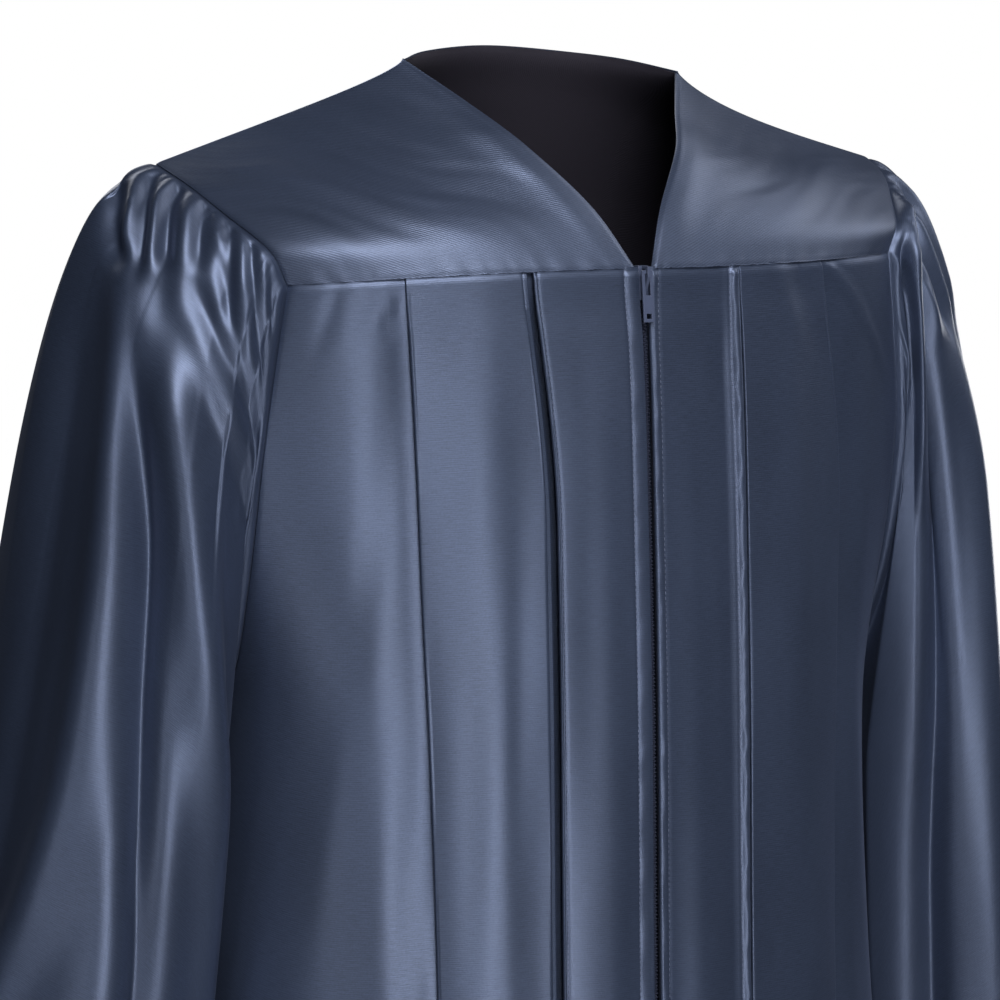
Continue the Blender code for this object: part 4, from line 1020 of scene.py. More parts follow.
def sleeve_folds(grid, steps, turns, side, settings):
    """Gathers at the cap and the large hanging folds, along the surface's normal."""
    normals = grid_normals(grid, True)
    middle = normals[len(grid) // 2, 0]
    if middle[0] * side < 0:
        normals = -normals
    places = flat_places(grid, True)
    down = places[:, :-1, 1]
    arc = np.diff(places[..., 0], axis=1) / np.diff(np.append(turns, WHOLE_TURN))
    off = np.zeros(grid.shape[:2])
    for line in sleeve_lines(side):
        off += one_fold(grid, turns, arc, *line)
    rng = np.random.RandomState(23 + side)
    for _ in range(PUCKERS):
        turn = rng.uniform(-24, 24) % WHOLE_TURN
        width, length, depth = rng.uniform(1.2, 2.6), rng.uniform(10, 34), rng.uniform(0.3, 1.0)
        lean = rng.uniform(-0.5, 0.9)
        run = down / (length * MM)
        away = (turns[None, :] - turn - lean * run + WHOLE_TURN / 2) % WHOLE_TURN - WHOLE_TURN / 2
        fade = np.clip(1 - run, 0, 1) ** 1.5
        off -= depth * MM * fade * np.exp(-(away * arc / (width * MM)) ** 2)
    angle = 2 * np.pi * turns / WHOLE_TURN
    fine = np.sin(3 * angle[None, :] + down * 9.0) * np.sin(down * 14.0 + 2 * angle[None, :])
    off += 0.8 * MM * fine * smooth_step(down / (60 * MM))
    low = np.exp(-((turns - LOWER_ARMHOLE_TURN) / 7.0) ** 2)
    off *= settings.gather_share * smooth_step(down / ((5 + 36 * low) * MM))
    moved = grid + normals * off[..., None]
    return clear_of_body(moved, side)


def polyline_points(path, step):
    """Even points along a path with their directions."""
    lengths = lengths_of(path)
    count = max(2, int(lengths[-1] / step))
    goals = (np.arange(count) + 0.5) * lengths[-1] / count
    point = np.stack([np.interp(goals, lengths, path[:, k]) for k in range(3)], axis=1)
    ahead = np.stack([np.interp(np.minimum(goals + step / 3, lengths[-1]), lengths, path[:, k])
                      for k in range(3)], axis=1)
    return point, unit(ahead - point), goals


def stitch_rows(name, rows, look, length, width, pitch):
    """Rows of separate stitches, each a short thread that dips into the cloth."""
    ring = 6
    stations = (-0.5, -0.36, 0.0, 0.36, 0.5)
    swell = (0.0, 0.75, 1.0, 0.75, 0.0)
    all_points = []
    all_faces = []
    base = 0
    for path, outward in rows:
        points, direction, goals = polyline_points(path, pitch)
        lengths = lengths_of(path)
        normal = unit(np.stack([np.interp(goals, lengths, outward[:, k]) for k in range(3)], axis=1))
        side = unit(np.cross(direction, normal))
        normal = np.cross(side, direction)
        angles = np.arange(ring) * 2 * np.pi / ring
        circle = (side[:, None] * np.cos(angles)[None, :, None]
                  + normal[:, None] * np.sin(angles)[None, :, None])
        for share, size in zip(stations, swell):
            radius = width / 2 * max(size, 0.12)
            lift = width * (0.25 * size - 0.35)
            middle = points + direction * share * length + normal * lift
            all_points.append((middle[:, None] + circle * radius).reshape(-1, 3))
        count = len(points)
        block = np.arange(count * ring).reshape(count, ring)
        for k in range(len(stations) - 1):
            low = base + k * count * ring + block
            high = low + count * ring
            quad = np.stack((low, np.roll(low, -1, axis=1), np.roll(high, -1, axis=1), high), axis=-1)
            all_faces.append(quad.reshape(-1, 4))
        base += len(stations) * count * ring
    points = np.vstack(all_points)
    faces = np.vstack(all_faces)
    mesh = bpy.data.meshes.new(name)
    mesh.from_pydata(points.tolist(), [], faces.tolist())
    for polygon in mesh.polygons:
        polygon.use_smooth = True
    piece = bpy.data.objects.new(name, mesh)
    mesh.materials.append(look)
    bpy.context.scene.collection.objects.link(piece)
    return piece


def front_y(height, depth):
    """The place of a layer this deep behind the front's centre line."""
    return float(read(BODY_SECTIONS, 2, height)) + depth


class Finish:
    """Builds a procedural finish on one Principled shader."""

    def __init__(self, name):
        self.made = bpy.data.materials.new(name)
        self.made.use_nodes = True
        self.tree = self.made.node_tree
        self.shader = self.tree.nodes["Principled BSDF"]

    def node(self, kind, **values):
        made = self.tree.nodes.new(kind)
        for key, value in values.items():
            setattr(made, key, value)
        return made

    def link(self, source, target):
        self.tree.links.new(source, target)

    def set(self, **values):
        for key, value in values.items():
            self.shader.inputs[key.replace("_", " ")].default_value = value

    def flat_cloth(self, scale):
        """The flat place on the cloth, scaled in each direction."""
        where = self.node("ShaderNodeTexCoord")
        mapping = self.node("ShaderNodeMapping")
        mapping.inputs["Scale"].default_value = scale
        self.link(where.outputs["UV"], mapping.inputs["Vector"])
        return mapping.outputs["Vector"]

    def wave(self, vector, scale, direction, distortion=0.0):
        wave = self.node("ShaderNodeTexWave", wave_type="BANDS", bands_direction=direction)
        wave.inputs["Scale"].default_value = scale
        wave.inputs["Distortion"].default_value = distortion
        wave.inputs["Detail"].default_value = 1.0
        self.link(vector, wave.inputs["Vector"])
        return wave.outputs["Fac"]

    def noise(self, vector, scale, detail=2.0):
        noise = self.node("ShaderNodeTexNoise")
        noise.inputs["Scale"].default_value = scale
        noise.inputs["Detail"].default_value = detail
        self.link(vector, noise.inputs["Vector"])
        return noise.outputs["Fac"]

    def maths(self, operation, first, second):
        node = self.node("ShaderNodeMath", operation=operation)
        for socket, value in zip(node.inputs, (first, second)):
            if isinstance(value, (int, float)):
                socket.default_value = value
            else:
                self.link(value, socket)
        return node.outputs["Value"]

    def blend(self, share, first, second):
        mix = self.node("ShaderNodeMix", data_type="RGBA")
        mix.inputs["A"].default_value = first
        mix.inputs["B"].default_value = second
        colours = [socket for socket in mix.inputs if socket.type == "RGBA"]
        colours[0].default_value = first
        colours[1].default_value = second
        self.link(share, mix.inputs["Factor"])
        return [socket for socket in mix.outputs if socket.type == "RGBA"][0]

    def bump(self, height, strength, distance):
        bump = self.node("ShaderNodeBump")
        bump.inputs["Strength"].default_value = strength
        bump.inputs["Distance"].default_value = distance
        self.link(height, bump.inputs["Height"])
        self.link(bump.outputs["Normal"], self.shader.inputs["Normal"])


def shade(colour, factor):
    return (colour[0] * factor, colour[1] * factor, colour[2] * factor, 1.0)


def wave_scale(pitch):
    """The wave node's scale for bands this far apart, across or down."""
    return 2 * math.pi / (20 * pitch)


def satin(name, settings, colours, bias=False):
    """Navy satin: a soft lengthwise sheen over a fine weave with slight cross slubs."""
    finish = Finish(name)
    flat = finish.flat_cloth((1.0, 1.0, 1.0))
    slubs = finish.noise(finish.flat_cloth((150.0, 1500.0, 1.0)), 1.0, 3.0)
    grain = finish.noise(finish.flat_cloth((900.0, 900.0, 1.0)), 1.0, 2.0)
    clouds = finish.noise(finish.flat_cloth((14.0, 7.0, 1.0)), 1.0, 3.0)
    direction = "DIAGONAL" if bias else "Y"
    pitch = settings.weave_pitch * (0.95 if bias else 1.0)
    weave = finish.wave(flat, wave_scale(pitch), direction, 0.4)
    mixed = finish.maths("ADD", finish.maths("MULTIPLY", weave, 0.26 if bias else 0.14),
                         finish.maths("MULTIPLY", slubs, 0.30 if bias else 0.55))
    mixed = finish.maths("ADD", mixed, finish.maths("MULTIPLY", grain, 0.35))
    tone = finish.maths("ADD", mixed, finish.maths("MULTIPLY", clouds, 0.45))
    tone = finish.maths("SUBTRACT", tone, 0.22)
    base = finish.blend(tone, shade(colours.satin, 0.4), shade(colours.satin, 1.6))
    finish.link(base, finish.shader.inputs["Base Color"])
    rough = finish.maths("ADD", finish.maths("MULTIPLY", clouds, 0.10), settings.gloss_spread)
    rough = finish.maths("SUBTRACT", rough, finish.maths("MULTIPLY", grain, 0.08))
    finish.link(rough, finish.shader.inputs["Roughness"])
    finish.bump(mixed, 0.40 if bias else 0.30, 0.0004)
    finish.set(Metallic=0.6, Specular_IOR_Level=0.9, Sheen_Weight=0.03, Sheen_Roughness=0.4)
    finish.shader.inputs["Sheen Tint"].default_value = (0.55, 0.65, 1.0, 1.0)
    return finish.made


def lining_twill(name, colours):
    """Dull black twill with fine slanting ribs."""
    finish = Finish(name)
    flat = finish.flat_cloth((1.0, 1.0, 1.0))
    ribs = finish.wave(flat, wave_scale(0.55 * MM), "DIAGONAL", 0.3)
    lint = finish.noise(finish.flat_cloth((500.0, 500.0, 1.0)), 1.0, 2.0)
    height = finish.maths("ADD", ribs, finish.maths("MULTIPLY", lint, 0.5))
    base = finish.blend(height, shade(colours.lining, 0.75), shade(colours.lining, 1.7))
    finish.link(base, finish.shader.inputs["Base Color"])
    finish.link(finish.maths("ADD", finish.maths("MULTIPLY", lint, 0.12), 0.72),
                finish.shader.inputs["Roughness"])
    finish.bump(height, 0.35, 0.0003)
    finish.set(Specular_IOR_Level=0.3)
    return finish.made


def thread_finish(name, colours):
    """Navy sewing thread with the twist of its strands."""
    finish = Finish(name)
    where = finish.node("ShaderNodeTexCoord")
    lint = finish.noise(where.outputs["Object"], 2500.0, 2.0)
    base = finish.blend(lint, shade(colours.thread, 0.8), shade(colours.thread, 1.35))
    finish.link(base, finish.shader.inputs["Base Color"])
    finish.link(finish.maths("ADD", finish.maths("MULTIPLY", lint, 0.2), 0.38),
                finish.shader.inputs["Roughness"])
    finish.bump(lint, 0.3, 0.0002)
    return finish.made


def tape_finish(name, colours):
    """The zip tape's dark ribbed weave."""
    finish = Finish(name)
    ribs = finish.wave(finish.flat_cloth((1.0, 1.0, 1.0)), wave_scale(0.9 * MM), "X", 0.2)
    base = finish.blend(ribs, shade(colours.tape, 0.8), shade(colours.tape, 1.4))
    finish.link(base, finish.shader.inputs["Base Color"])
    finish.link(finish.maths("ADD", finish.maths("MULTIPLY", ribs, 0.1), 0.68),
                finish.shader.inputs["Roughness"])
    finish.bump(ribs, 0.4, 0.0003)
    return finish.made


def paint_finish(name, colour, roughness):
    """Navy enamel on small cast metal, with slight wear of its gloss."""
    finish = Finish(name)
    where = finish.node("ShaderNodeTexCoord")
    grain = finish.noise(where.outputs["Object"], 900.0, 3.0)
    base = finish.blend(grain, shade(colour, 0.9), shade(colour, 1.12))
    finish.link(base, finish.shader.inputs["Base Color"])
    finish.link(finish.maths("ADD", finish.maths("MULTIPLY", grain, 0.18), roughness),
                finish.shader.inputs["Roughness"])
    finish.bump(grain, 0.08, 0.0002)
    finish.set(Metallic=0.0, Coat_Weight=0.25, Coat_Roughness=0.2)
    return finish.made


def dress(piece, body, nodes):
    """Let a piece ride its body and stand for its solids."""
    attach(piece, body)
    if nodes:
        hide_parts(*nodes)
    return piece


class GownCut(bpy.types.PropertyGroup):
    """Sizes a user would change."""

    cloth: bpy.props.FloatProperty(
        name="Cloth thickness", description="Thickness of the satin",
        default=0.0007, min=0.0004, max=0.0013, subtype="DISTANCE", unit="LENGTH")
    weave_pitch: bpy.props.FloatProperty(
        name="Weave pitch", description="Distance between the ribs of the weave",
        default=0.0011, min=0.0004, max=0.003, subtype="DISTANCE", unit="LENGTH")
    gather_share: bpy.props.FloatProperty(
        name="Gather depth", description="Depth of the sleeve gathers against the cut's own",
        default=1.0, min=0.0, max=1.5, subtype="FACTOR")
    crease_share: bpy.props.FloatProperty(
        name="Crease depth", description="Depth of the soft creases in the fronts",
        default=1.0, min=0.0, max=2.0, subtype="FACTOR")
    edge_puff: bpy.props.FloatProperty(
        name="Edge puff", description="How far a stitched folded edge swells",
        default=0.0005, min=0.0, max=0.0012, subtype="DISTANCE", unit="LENGTH")
    gloss_spread: bpy.props.FloatProperty(
        name="Gloss spread", description="Lowest roughness of the satin",
        default=0.42, min=0.1, max=0.8, subtype="FACTOR")
    stitch_length: bpy.props.FloatProperty(
        name="Stitch length", description="Length of one stitch",
        default=0.0022, min=0.001, max=0.005, subtype="DISTANCE", unit="LENGTH")


class GownColours(bpy.types.PropertyGroup):
    """Colours a user would change."""

    satin: bpy.props.FloatVectorProperty(
        name="Satin", description="Colour of the gown's satin",
        default=(0.054, 0.074, 0.132), min=0.0, max=1.0, size=3, subtype="COLOR")
    lining: bpy.props.FloatVectorProperty(
        name="Lining", description="Colour of the neck's lining",
        default=(0.017, 0.015, 0.023), min=0.0, max=1.0, size=3, subtype="COLOR")
    thread: bpy.props.FloatVectorProperty(
        name="Thread", description="Colour of the sewing thread",
        default=(0.095, 0.115, 0.185), min=0.0, max=1.0, size=3, subtype="COLOR")
    tape: bpy.props.FloatVectorProperty(
        name="Zip tape", description="Colour of the zip's tapes and teeth",
        default=(0.012, 0.016, 0.036), min=0.0, max=1.0, size=3, subtype="COLOR")
    enamel: bpy.props.FloatVectorProperty(
        name="Enamel", description="Colour of the zip's slider and pull",
        default=(0.060, 0.075, 0.130), min=0.0, max=1.0, size=3, subtype="COLOR")


def settings_of(context):
    return context.scene.gown_cut, context.scene.gown_colours


def side_name(side):
    return "left" if side > 0 else "right"


class GOWN_OT_front_yokes(bpy.types.Operator):
    """Make the two smooth front yokes."""

    bl_idname = "gown.front_yokes"
    bl_label = "Front yokes"

    def execute(self, context):
        cut, colours = settings_of(context)
        for side in (-1, 1):
            name = side_name(side)
            grid = front_yoke_grid(side)
            normals = pointed(grid_normals(grid), grid, (0.1 * side, 0.05, -0.3))
            grid = yoke_life(grid, normals, side)
            grid = set_in(grid)
            grid = roll_edges(grid, normals, 0.4 * MM, 1.4 * MM, ("bottom", "right"))
            grid = roll_edges(grid, normals, 1.3 * MM, 1.6 * MM, ("left",))
            look = satin(f"satin_front_yoke_{name}", cut, colours, bias=True)
            piece = cloth_wall(f"satin_front_yoke_{name}", grid, normals, look, cut.cloth)
            dress(piece, "gown", [f"front_yoke_{name}"])
        return {"FINISHED"}


def set_in(grid):
    """Draw a sheet's edges in by half a seam's gap."""
    moved = grid.copy()
    for edge, next_in in (((slice(None), 0), (slice(None), 2)), ((slice(None), -1), (slice(None), -3)),
                          ((0, slice(None)), (2, slice(None))), ((-1, slice(None)), (-3, slice(None)))):
        moved[edge] = moved[edge] + unit(grid[next_in] - grid[edge]) * SEAM_GAP / 2
    return moved


def yoke_life(grid, normals, side):
    """Broad soft hollows and rises of a yoke over the collar bone."""
    rows = np.linspace(0, 1, grid.shape[0])[:, None]
    columns = np.linspace(0, 1, grid.shape[1])[None, :]
    edge = np.sin(np.pi * rows) * np.sin(np.pi * columns)
    rise = 1.3 * MM * np.sin(2.4 * rows * np.pi + 1.1 * columns * np.pi + (0.4 if side < 0 else 1.6))
    rise = rise + 0.5 * MM * np.sin(5.2 * columns * np.pi + 3.0 * rows * np.pi)
    places = flat_places(grid)
    roll = NECK_ROLL * np.exp(-((places[..., 0] - NECK_ROLL_PLACE) / NECK_ROLL_WIDTH) ** 2)
    near_seam = places[-1:, :, 1] - places[..., 1]
    pucker = 0.35 * MM * np.sin(places[..., 0] * 520 + 2 * np.sin(places[..., 0] * 90))
    pucker = pucker * np.exp(-(near_seam / (7 * MM)) ** 2)
    slant = places[..., 0] * 0.8 + places[..., 1] * 0.6
    along_slant = places[..., 0] * 0.6 - places[..., 1] * 0.8
    streaks = np.sin(slant * 210 + 2.2 * np.sin(along_slant * 47) + side) * np.sin(along_slant * 33 + slant * 61)
    streaks = streaks + 0.6 * np.sin(slant * 390 + 3.0 * np.sin(along_slant * 71)) * np.sin(slant * 83 + 2 * side)
    rise = rise + YOKE_STREAKS * streaks
    return grid + normals * (rise * edge + roll * np.sin(np.pi * rows) + pucker)[..., None]


def softened(grid):
    """Ease a sheet's columns into each other away from its top and bottom edges."""
    share = np.linspace(0, 1, grid.shape[0])
    weight = (smooth_step(share / 0.3) * smooth_step((1 - share) / 0.3))[1:-1, None, None]
    moved = grid.copy()
    for _ in range(SOFTEN_TURNS):
        mean = (moved[1:-1, :-2] + moved[1:-1, 2:]) / 2
        moved[1:-1, 1:-1] += (mean - moved[1:-1, 1:-1]) * weight
    return moved


class GOWN_OT_back_yoke(bpy.types.Operator):
    """Make the back yoke and the black lining under it."""

    bl_idname = "gown.back_yoke"
    bl_label = "Back yoke and lining"

    def execute(self, context):
        cut, colours = settings_of(context)
        grid = softened(back_yoke_grid())
        normals = pointed(grid_normals(grid), grid, (0.0, 0.0, -0.25))
        down = flat_places(grid)[..., 1:]
        lining = grid - normals * (LINING_DROP - LINING_RISE * np.exp(-(down / LINING_RUN) ** 2))
        lining = lining[1:-3, 3:-3]
        outer = roll_edges(set_in(grid), normals, 0.4 * MM, 1.4 * MM, ("bottom", "left", "right"))
        look = satin("satin_back_yoke", cut, colours, bias=True)
        piece = cloth_wall("satin_back_yoke", outer, normals, look, cut.cloth)
        dress(piece, "gown", ["back_yoke"])
        twill = lining_twill("black_twill_lining", colours)
        inner = cloth_wall("black_twill_lining", lining, normals[1:-3, 3:-3], twill, 0.5 * MM)
        dress(inner, "gown", ["back_yoke_lining"])
        return {"FINISHED"}


class GOWN_OT_front_panels(bpy.types.Operator):
    """Make the two pleated fronts and their rows of stitching."""

    bl_idname = "gown.front_panels"
    bl_label = "Pleated fronts"

    def execute(self, context):
        cut, colours = settings_of(context)
        thread = thread_finish("navy_thread", colours)
        for side in (-1, 1):
            name = side_name(side)
            grid, stations = front_panel_grid(side, cut)
            normals = grid_normals(grid)
            spot = stations.spans.index(0) + 4
            if normals[40, spot][1] > 0:
                normals = -normals
            grid = grid.copy()
            grid[:, -1] += unit(grid[:, -3] - grid[:, -1]) * SEAM_GAP / 2
            grid = tucked(roll_edges(grid, normals, 0.4 * MM, 1.6 * MM, ("right",)))
            grid, normals = with_seam_allowance(grid, normals)
            look = satin(f"satin_front_{name}", cut, colours)
            piece = cloth_wall(f"satin_front_{name}", grid, normals, look, cut.cloth)
            dress(piece, "gown", [f"front_panel_{name}"])
            surface = drifted(grid) + normals * cut.cloth / 2
            rows = []
            for line, offset in ((0, FLY_STITCH[side]), (1, -PLEAT_OPENING[side] / 2 - PLEAT_STITCH[side])):
                column = nearest_station(stations, line, offset)
                rows.append((surface[2:, column], normals[2:, column]))
            seams = stitch_rows(f"stitching_front_{name}", rows, thread,
                                cut.stitch_length, 0.55 * MM, cut.stitch_length * 1.3)
            dress(seams, "gown", [])
        return {"FINISHED"}


def nearest_station(stations, line, offset):
    """The column on the surface nearest this distance from a line."""
    best = None
    for index, weights in enumerate(stations.weights):
        if weights[line] == 1.0 and stations.spans[index] >= 0:
            gap = abs(stations.offsets[index] - offset)
            if best is None or gap < best[0]:
                best = (gap, index)
    return best[1]


class GOWN_OT_back_panel(bpy.types.Operator):
    """Make the pleated back."""

    bl_idname = "gown.back_panel"
    bl_label = "Pleated back"

    def execute(self, context):
        cut, colours = settings_of(context)
        grid = back_panel_grid()
        normals = grid_normals(grid)
        middle = grid.shape[1] // 2
        if normals[40, middle][1] < 0:
            normals = -normals
        for edge, inner in ((0, 2), (-1, -3)):
            grid[:, edge] += unit(grid[:, inner] - grid[:, edge]) * SEAM_GAP / 2
        grid = roll_edges(grid, normals, 0.4 * MM, 1.6 * MM, ("left", "right"))
        grid = tucked(grid, BACK_TUCK_UNDER)
        look = satin("satin_back", cut, colours)
        piece = cloth_wall("satin_back", grid, normals, look, cut.cloth)
        dress(piece, "gown", ["back_panel"])
        return {"FINISHED"}


class GOWN_OT_sleeves(bpy.types.Operator):
    """Make the two gathered bell sleeves."""

    bl_idname = "gown.sleeves"
    bl_label = "Bell sleeves"

    def execute(self, context):
        cut, colours = settings_of(context)
        for side in (-1, 1):
            name = side_name(side)
            grid, start, across, out = sleeve_grid(side, 346, cut)
            normals = grid_normals(grid, True)
            if normals[len(grid) // 2, 0][0] * side < 0:
                normals = -normals
            down = flat_places(grid, True)[:, :-1, 1:]
            grid = grid - out * TUCK_DEPTH * np.exp(-(down / TUCK_RUN) ** 2)
            grid[0] = grid[0] - across * TUCK_UNDER
            look = satin(f"satin_sleeve_{name}", cut, colours)
            piece = cloth_wall(f"satin_sleeve_{name}", grid, normals, look, cut.cloth,
                               closed=True, drift=False)
            dress(piece, "gown", [f"sleeve_{name}"])
        return {"FINISHED"}


class GOWN_OT_zip(bpy.types.Operator):
    """Make the zip's tapes, teeth, slider and pull, and give the bottom stop its enamel."""

    bl_idname = "gown.zip"
    bl_label = "Front zip"

    def execute(self, context):
        colours = settings_of(context)[1]
        build_tapes(colours)
        build_teeth(colours)
        build_slider(colours)
        build_pull(colours)
        stop = bpy.data.objects["zip_bottom_stop"]
        stop.data.materials.clear()
        stop.data.materials.append(paint_finish("enamel_stop", colours.enamel, 0.3))
        return {"FINISHED"}


def build_tapes(colours):
    heights = np.linspace(TAPE_TOP, ZIP_END, 140)
    for side in (-1, 1):
        name = side_name(side)
        start = CHAIN_WIDTH / 2 + SEAM_GAP
        grid = np.array([[(side * (start + TAPE_WIDTH * share), front_y(height, TAPE_DEPTH), height)
                          for share in np.linspace(0, 1, 7)] for height in heights])
        normals = pointed(grid_normals(grid), grid, (0.0, 0.0, -0.5))
        look = tape_finish(f"woven_tape_{name}", colours)
        piece = cloth_wall(f"woven_tape_{name}", grid, normals, look, TAPE_WALL)
        dress(piece, "gown", [f"zip_tape_{name}"])


def build_teeth(colours):
    """Small interlocked teeth up the middle of the chain."""
    shape = bmesh.new()
    count = int((TAPE_TOP - ZIP_END) / TOOTH_PITCH)
    for index in range(count):
        height = TAPE_TOP - (index + 0.5) * TOOTH_PITCH
        side = 1 if index % 2 else -1
        size = Vector((CHAIN_WIDTH * 0.5, CHAIN_THICK * 0.8, TOOTH_PITCH * 0.8))
        centre = Vector((ZIP_DRIFT + side * CHAIN_WIDTH * 0.09, front_y(height, TAPE_DEPTH), height))
        matrix = Matrix.Translation(centre) @ Matrix.Diagonal((*size, 1.0))
        bmesh.ops.create_cube(shape, size=1.0, matrix=matrix)
    mesh = bpy.data.meshes.new("zip_teeth")
    shape.to_mesh(mesh)
    shape.free()
    piece = bpy.data.objects.new("zip_teeth", mesh)
    mesh.materials.append(paint_finish("moulded_teeth", colours.tape, 0.4))
    bpy.context.scene.collection.objects.link(piece)
    bevel = piece.modifiers.new("round", "BEVEL")
    bevel.width = 0.15 * MM
    bevel.segments = 1
    dress(piece, "gown", ["zip_chain"])


def pull_pivot():
    height = PULL_TOP - PULL_BAR / 2
    return Vector((ZIP_DRIFT, front_y(height, -PIVOT_STAND), height))


def side_solid(outline, width):
    """A side outline, each a depth and a height, given a width across."""
    shape = bmesh.new()
    start = ZIP_DRIFT - width / 2
    verts = [shape.verts.new(Vector((start, front_y(z, depth), z))) for depth, z in outline]
    face = shape.faces.new(verts)
    moved = bmesh.ops.extrude_face_region(shape, geom=[face])
    for item in moved["geom"]:
        if isinstance(item, bmesh.types.BMVert):
            item.co.x += width
    bmesh.ops.recalc_face_normals(shape, faces=shape.faces[:])
    return shape


def build_slider(colours):
    """Two plates joined at the top, with the crown that holds the pull."""
    slot_front = TAPE_DEPTH - CHAIN_THICK / 2 - SEAM_GAP
    slot_back = TAPE_DEPTH + CHAIN_THICK / 2 + SEAM_GAP
    front = slot_front - PLATE
    back = slot_back + PLATE
    neck = TAPE_TOP + 0.6 * MM
    body = side_solid(((front, SLIDER_TOP), (back, SLIDER_TOP), (back, SLIDER_END),
                       (slot_back, SLIDER_END), (slot_back, neck), (slot_front, neck),
                       (slot_front, SLIDER_END), (front, SLIDER_END)), SLIDER_WIDTH)
    bar = pull_pivot().z
    root = front + 0.4 * MM
    tip = -PIVOT_STAND - CROWN_HOLE - 1.0 * MM
    crown = side_solid(((root, SLIDER_TOP - 0.05 * MM), (tip, SLIDER_TOP - 0.05 * MM),
                        (tip, bar - CROWN_HOLE - 1.0 * MM), (root, SLIDER_END + 1.0 * MM),
                        (root, bar - CROWN_HOLE), (-PIVOT_STAND - CROWN_HOLE, bar - CROWN_HOLE),
                        (-PIVOT_STAND - CROWN_HOLE, bar + CROWN_HOLE), (root, bar + CROWN_HOLE)),
                       CROWN_WIDTH)
    mesh = bpy.data.meshes.new("zip_slider_cast")
    body.to_mesh(mesh)
    joined = bmesh.new()
    joined.from_mesh(mesh)
    crown_mesh = bpy.data.meshes.new("zip_crown")
    crown.to_mesh(crown_mesh)
    joined.from_mesh(crown_mesh)
    joined.to_mesh(mesh)
    for shape in (body, crown, joined):
        shape.free()
    bpy.data.meshes.remove(crown_mesh)
    piece = bpy.data.objects.new("zip_slider_cast", mesh)
    mesh.materials.append(paint_finish("enamel_slider", colours.enamel, 0.28))
    bpy.context.scene.collection.objects.link(piece)
    bevel = piece.modifiers.new("round", "BEVEL")
    bevel.width = 0.25 * MM
    bevel.segments = 2
    dress(piece, "gown", ["zip_slider"])


def build_pull(colours):
    """A flat tab with a long slot round the crown and a small hole at its end."""
    hub = pull_pivot()
    half = PULL_WIDTH / 2
    slot = PULL_SLOT_WIDTH / 2
    across = (-half, -slot, slot, half)
    down = (PULL_TOP, PULL_TOP - PULL_BAR, PULL_SLOT_END, PULL_HOLE_TOP, PULL_HOLE_END, PULL_END)
    slope = (front_y(PULL_END, 0) - front_y(PULL_TOP, 0)) / (PULL_TOP - PULL_END)
    shape = bmesh.new()
    verts = [[shape.verts.new(Vector((hub.x + x, hub.y + slope * (hub.z - z) - PULL_THICK / 2, z)))
              for x in across] for z in down]
    faces = []
    for i in range(len(down) - 1):
        for j in range(3):
            if j == 1 and i in (1, 3):
                continue
            faces.append(shape.faces.new((verts[i][j], verts[i][j + 1],
                                          verts[i + 1][j + 1], verts[i + 1][j])))
    moved = bmesh.ops.extrude_face_region(shape, geom=faces)
    for item in moved["geom"]:
        if isinstance(item, bmesh.types.BMVert):
            item.co.y += PULL_THICK
    bmesh.ops.recalc_face_normals(shape, faces=shape.faces[:])
    mesh = bpy.data.meshes.new("zip_pull_tab")
    shape.to_mesh(mesh)
    shape.free()
    piece = bpy.data.objects.new("zip_pull_tab", mesh)
    mesh.materials.append(paint_finish("enamel_pull", colours.enamel, 0.28))
    bpy.context.scene.collection.objects.link(piece)
    bevel = piece.modifiers.new("round", "BEVEL")
    bevel.width = 0.28 * MM
    bevel.segments = 3
    bevel.limit_method = "ANGLE"
    dress(piece, "pull", ["zip_pull"])


class GOWN_OT_stage(bpy.types.Operator):
    """Set the floor, the lights, the surroundings and the camera."""

    bl_idname = "gown.stage"
    bl_label = "Stage"

    def execute(self, context):
        scene = context.scene
        scene.camera = build_camera()
        mesh = bpy.data.meshes.new("floor")
        size = 1.1
        level = HEM - 0.012
        mesh.from_pydata([(-size, -size, level), (size, -size, level), (size, size, level),
                          (-size, size, level)], [], [(0, 1, 2, 3)])
        floor = bpy.data.objects.new("floor", mesh)
        finish = Finish("pale_floor")
        where = finish.node("ShaderNodeTexCoord")
        grain = finish.noise(where.outputs["Object"], 4.0, 2.0)
        pale = finish.blend(grain, (0.86, 0.86, 0.87, 1.0), (0.90, 0.90, 0.91, 1.0))
        finish.link(pale, finish.shader.inputs["Base Color"])
        finish.link(pale, finish.shader.inputs["Emission Color"])
        path = finish.node("ShaderNodeLightPath")
        glow = finish.maths("MULTIPLY", path.outputs["Is Camera Ray"], 0.75)
        finish.link(glow, finish.shader.inputs["Emission Strength"])
        finish.set(Roughness=0.9)
        mesh.materials.append(finish.made)
        scene.collection.objects.link(floor)
        build_world(scene)
        # Lights: name, turn and rise of the side they come from, distance, size, power
        for name, turn, rise, distance, width, power in (
            ("key", -13, 44, 2.3, 0.9, 7.6),
            ("front", -14, -10, 2.6, 0.9, 4.2),
            ("low left", -58, -12, 2.6, 0.6, 0.8),
            ("right", 86, 38, 2.4, 1.4, 4.2),
            ("rim", 118, 0, 2.6, 0.6, 1.2),
            ("back", 180, 30, 2.6, 1.2, 2.8),
        ):
            add_light(name, turn, rise, distance, width, power)
        scene.view_settings.view_transform = "Standard"
        return {"FINISHED"}


def away_from(turn, rise):
    """The direction towards a viewer at this turn and rise."""
    a, e = math.radians(turn), math.radians(rise)
    return Vector((math.sin(a) * math.cos(e), -math.cos(a) * math.cos(e), math.sin(e)))


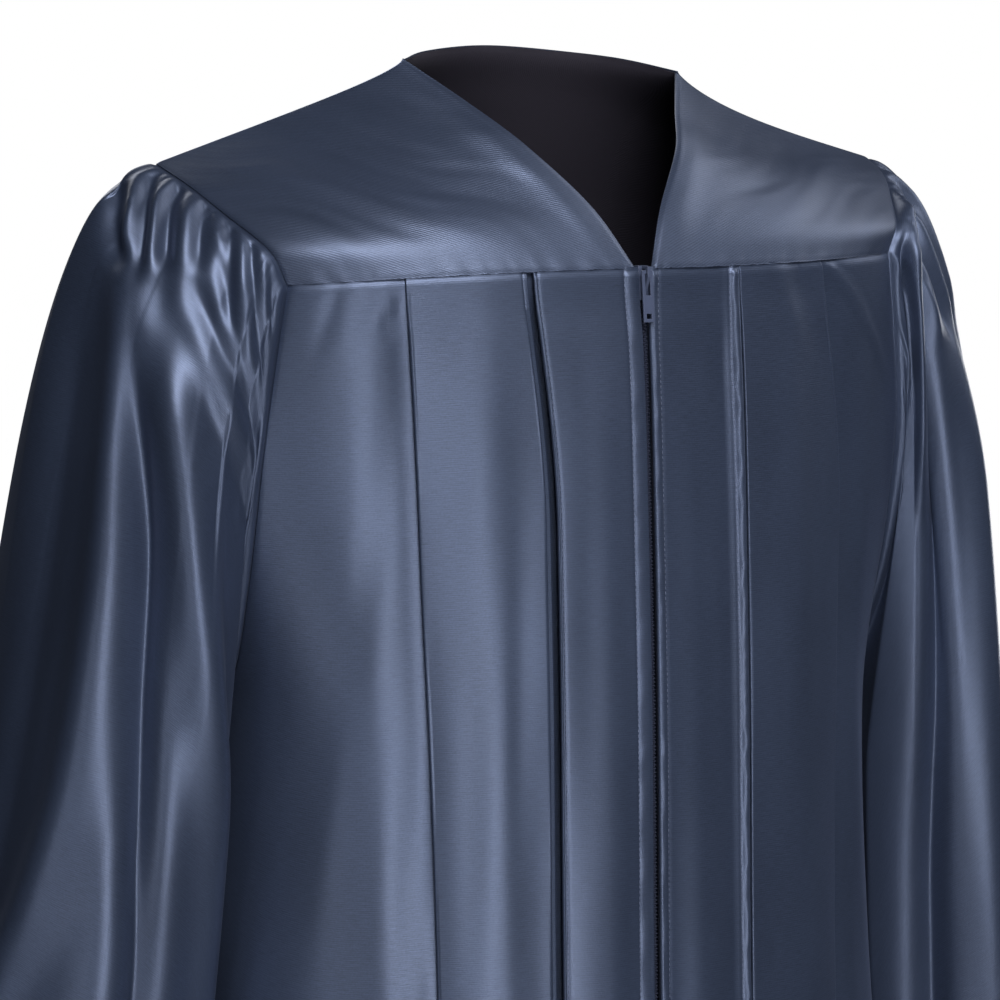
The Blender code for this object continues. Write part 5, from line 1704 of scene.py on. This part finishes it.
def add_light(name, turn, rise, distance, width, power):
    data = bpy.data.lights.new(name, "AREA")
    data.shape = "RECTANGLE"
    data.size = width
    data.size_y = width * 1.3
    data.energy = power
    data.spread = math.radians(70)
    lamp = bpy.data.objects.new(name, data)
    aim = Vector((0.0, 0.0, -0.38))
    lamp.location = aim + away_from(turn, rise) * distance
    lamp.rotation_euler = away_from(turn, rise).to_track_quat("Z", "Y").to_euler()
    bpy.context.scene.collection.objects.link(lamp)


def build_world(scene):
    """White to the eye, with a softer light on the cloth."""
    world = bpy.data.worlds.new("studio")
    world.use_nodes = True
    tree = world.node_tree
    soft = tree.nodes["Background"]
    soft.inputs["Color"].default_value = (0.60, 0.75, 1.0, 1.0)
    soft.inputs["Strength"].default_value = 0.018
    white = tree.nodes.new("ShaderNodeBackground")
    white.inputs["Color"].default_value = (1.0, 1.0, 1.0, 1.0)
    white.inputs["Strength"].default_value = 1.0
    path = tree.nodes.new("ShaderNodeLightPath")
    mix = tree.nodes.new("ShaderNodeMixShader")
    tree.links.new(path.outputs["Is Camera Ray"], mix.inputs["Fac"])
    tree.links.new(soft.outputs["Background"], mix.inputs[1])
    tree.links.new(white.outputs["Background"], mix.inputs[2])
    tree.links.new(mix.outputs["Shader"], tree.nodes["World Output"].inputs["Surface"])
    scene.world = world


def build_camera():
    back = away_from(-VIEW_TURN, VIEW_RISE)
    right = Vector((0, 0, 1)).cross(back).normalized()
    up = back.cross(right)
    roll = math.radians(VIEW_ROLL)
    turned = right * math.cos(roll) + up * math.sin(roll)
    upright = back.cross(turned)
    data = bpy.data.cameras.new("camera")
    data.lens = VIEW_LENS
    data.sensor_width = 36
    camera = bpy.data.objects.new("camera", data)
    camera.matrix_world = Matrix((
        (turned.x, upright.x, back.x, VIEW_TARGET[0] + back.x * VIEW_DISTANCE),
        (turned.y, upright.y, back.y, VIEW_TARGET[1] + back.y * VIEW_DISTANCE),
        (turned.z, upright.z, back.z, VIEW_TARGET[2] + back.z * VIEW_DISTANCE),
        (0, 0, 0, 1),
    ))
    bpy.context.scene.collection.objects.link(camera)
    return camera


class GOWN_PT_pieces(bpy.types.Panel):
    """The gown's pieces, sizes and colours."""

    bl_idname = "GOWN_PT_pieces"
    bl_label = "Graduation gown"
    bl_space_type = "VIEW_3D"
    bl_region_type = "UI"
    bl_category = "Gown"

    def draw(self, context):
        column = self.layout.column()
        for operator in OPERATORS:
            column.operator(operator.bl_idname)
        for group in settings_of(context):
            for key in group.__annotations__:
                column.prop(group, key)


OPERATORS = (
    GOWN_OT_stage,
    GOWN_OT_front_yokes,
    GOWN_OT_back_yoke,
    GOWN_OT_front_panels,
    GOWN_OT_back_panel,
    GOWN_OT_sleeves,
    GOWN_OT_zip,
)
CLASSES = (GownCut, GownColours) + OPERATORS + (GOWN_PT_pieces,)


def register():
    for item in CLASSES:
        bpy.utils.register_class(item)
    bpy.types.Scene.gown_cut = bpy.props.PointerProperty(type=GownCut)
    bpy.types.Scene.gown_colours = bpy.props.PointerProperty(type=GownColours)


def unregister():
    del bpy.types.Scene.gown_cut
    del bpy.types.Scene.gown_colours
    for item in reversed(CLASSES):
        bpy.utils.unregister_class(item)


def main():
    register()
    for operator in OPERATORS:
        group, name = operator.bl_idname.split(".")
        getattr(getattr(bpy.ops, group), name)()


if __name__ == "__main__":
    main()
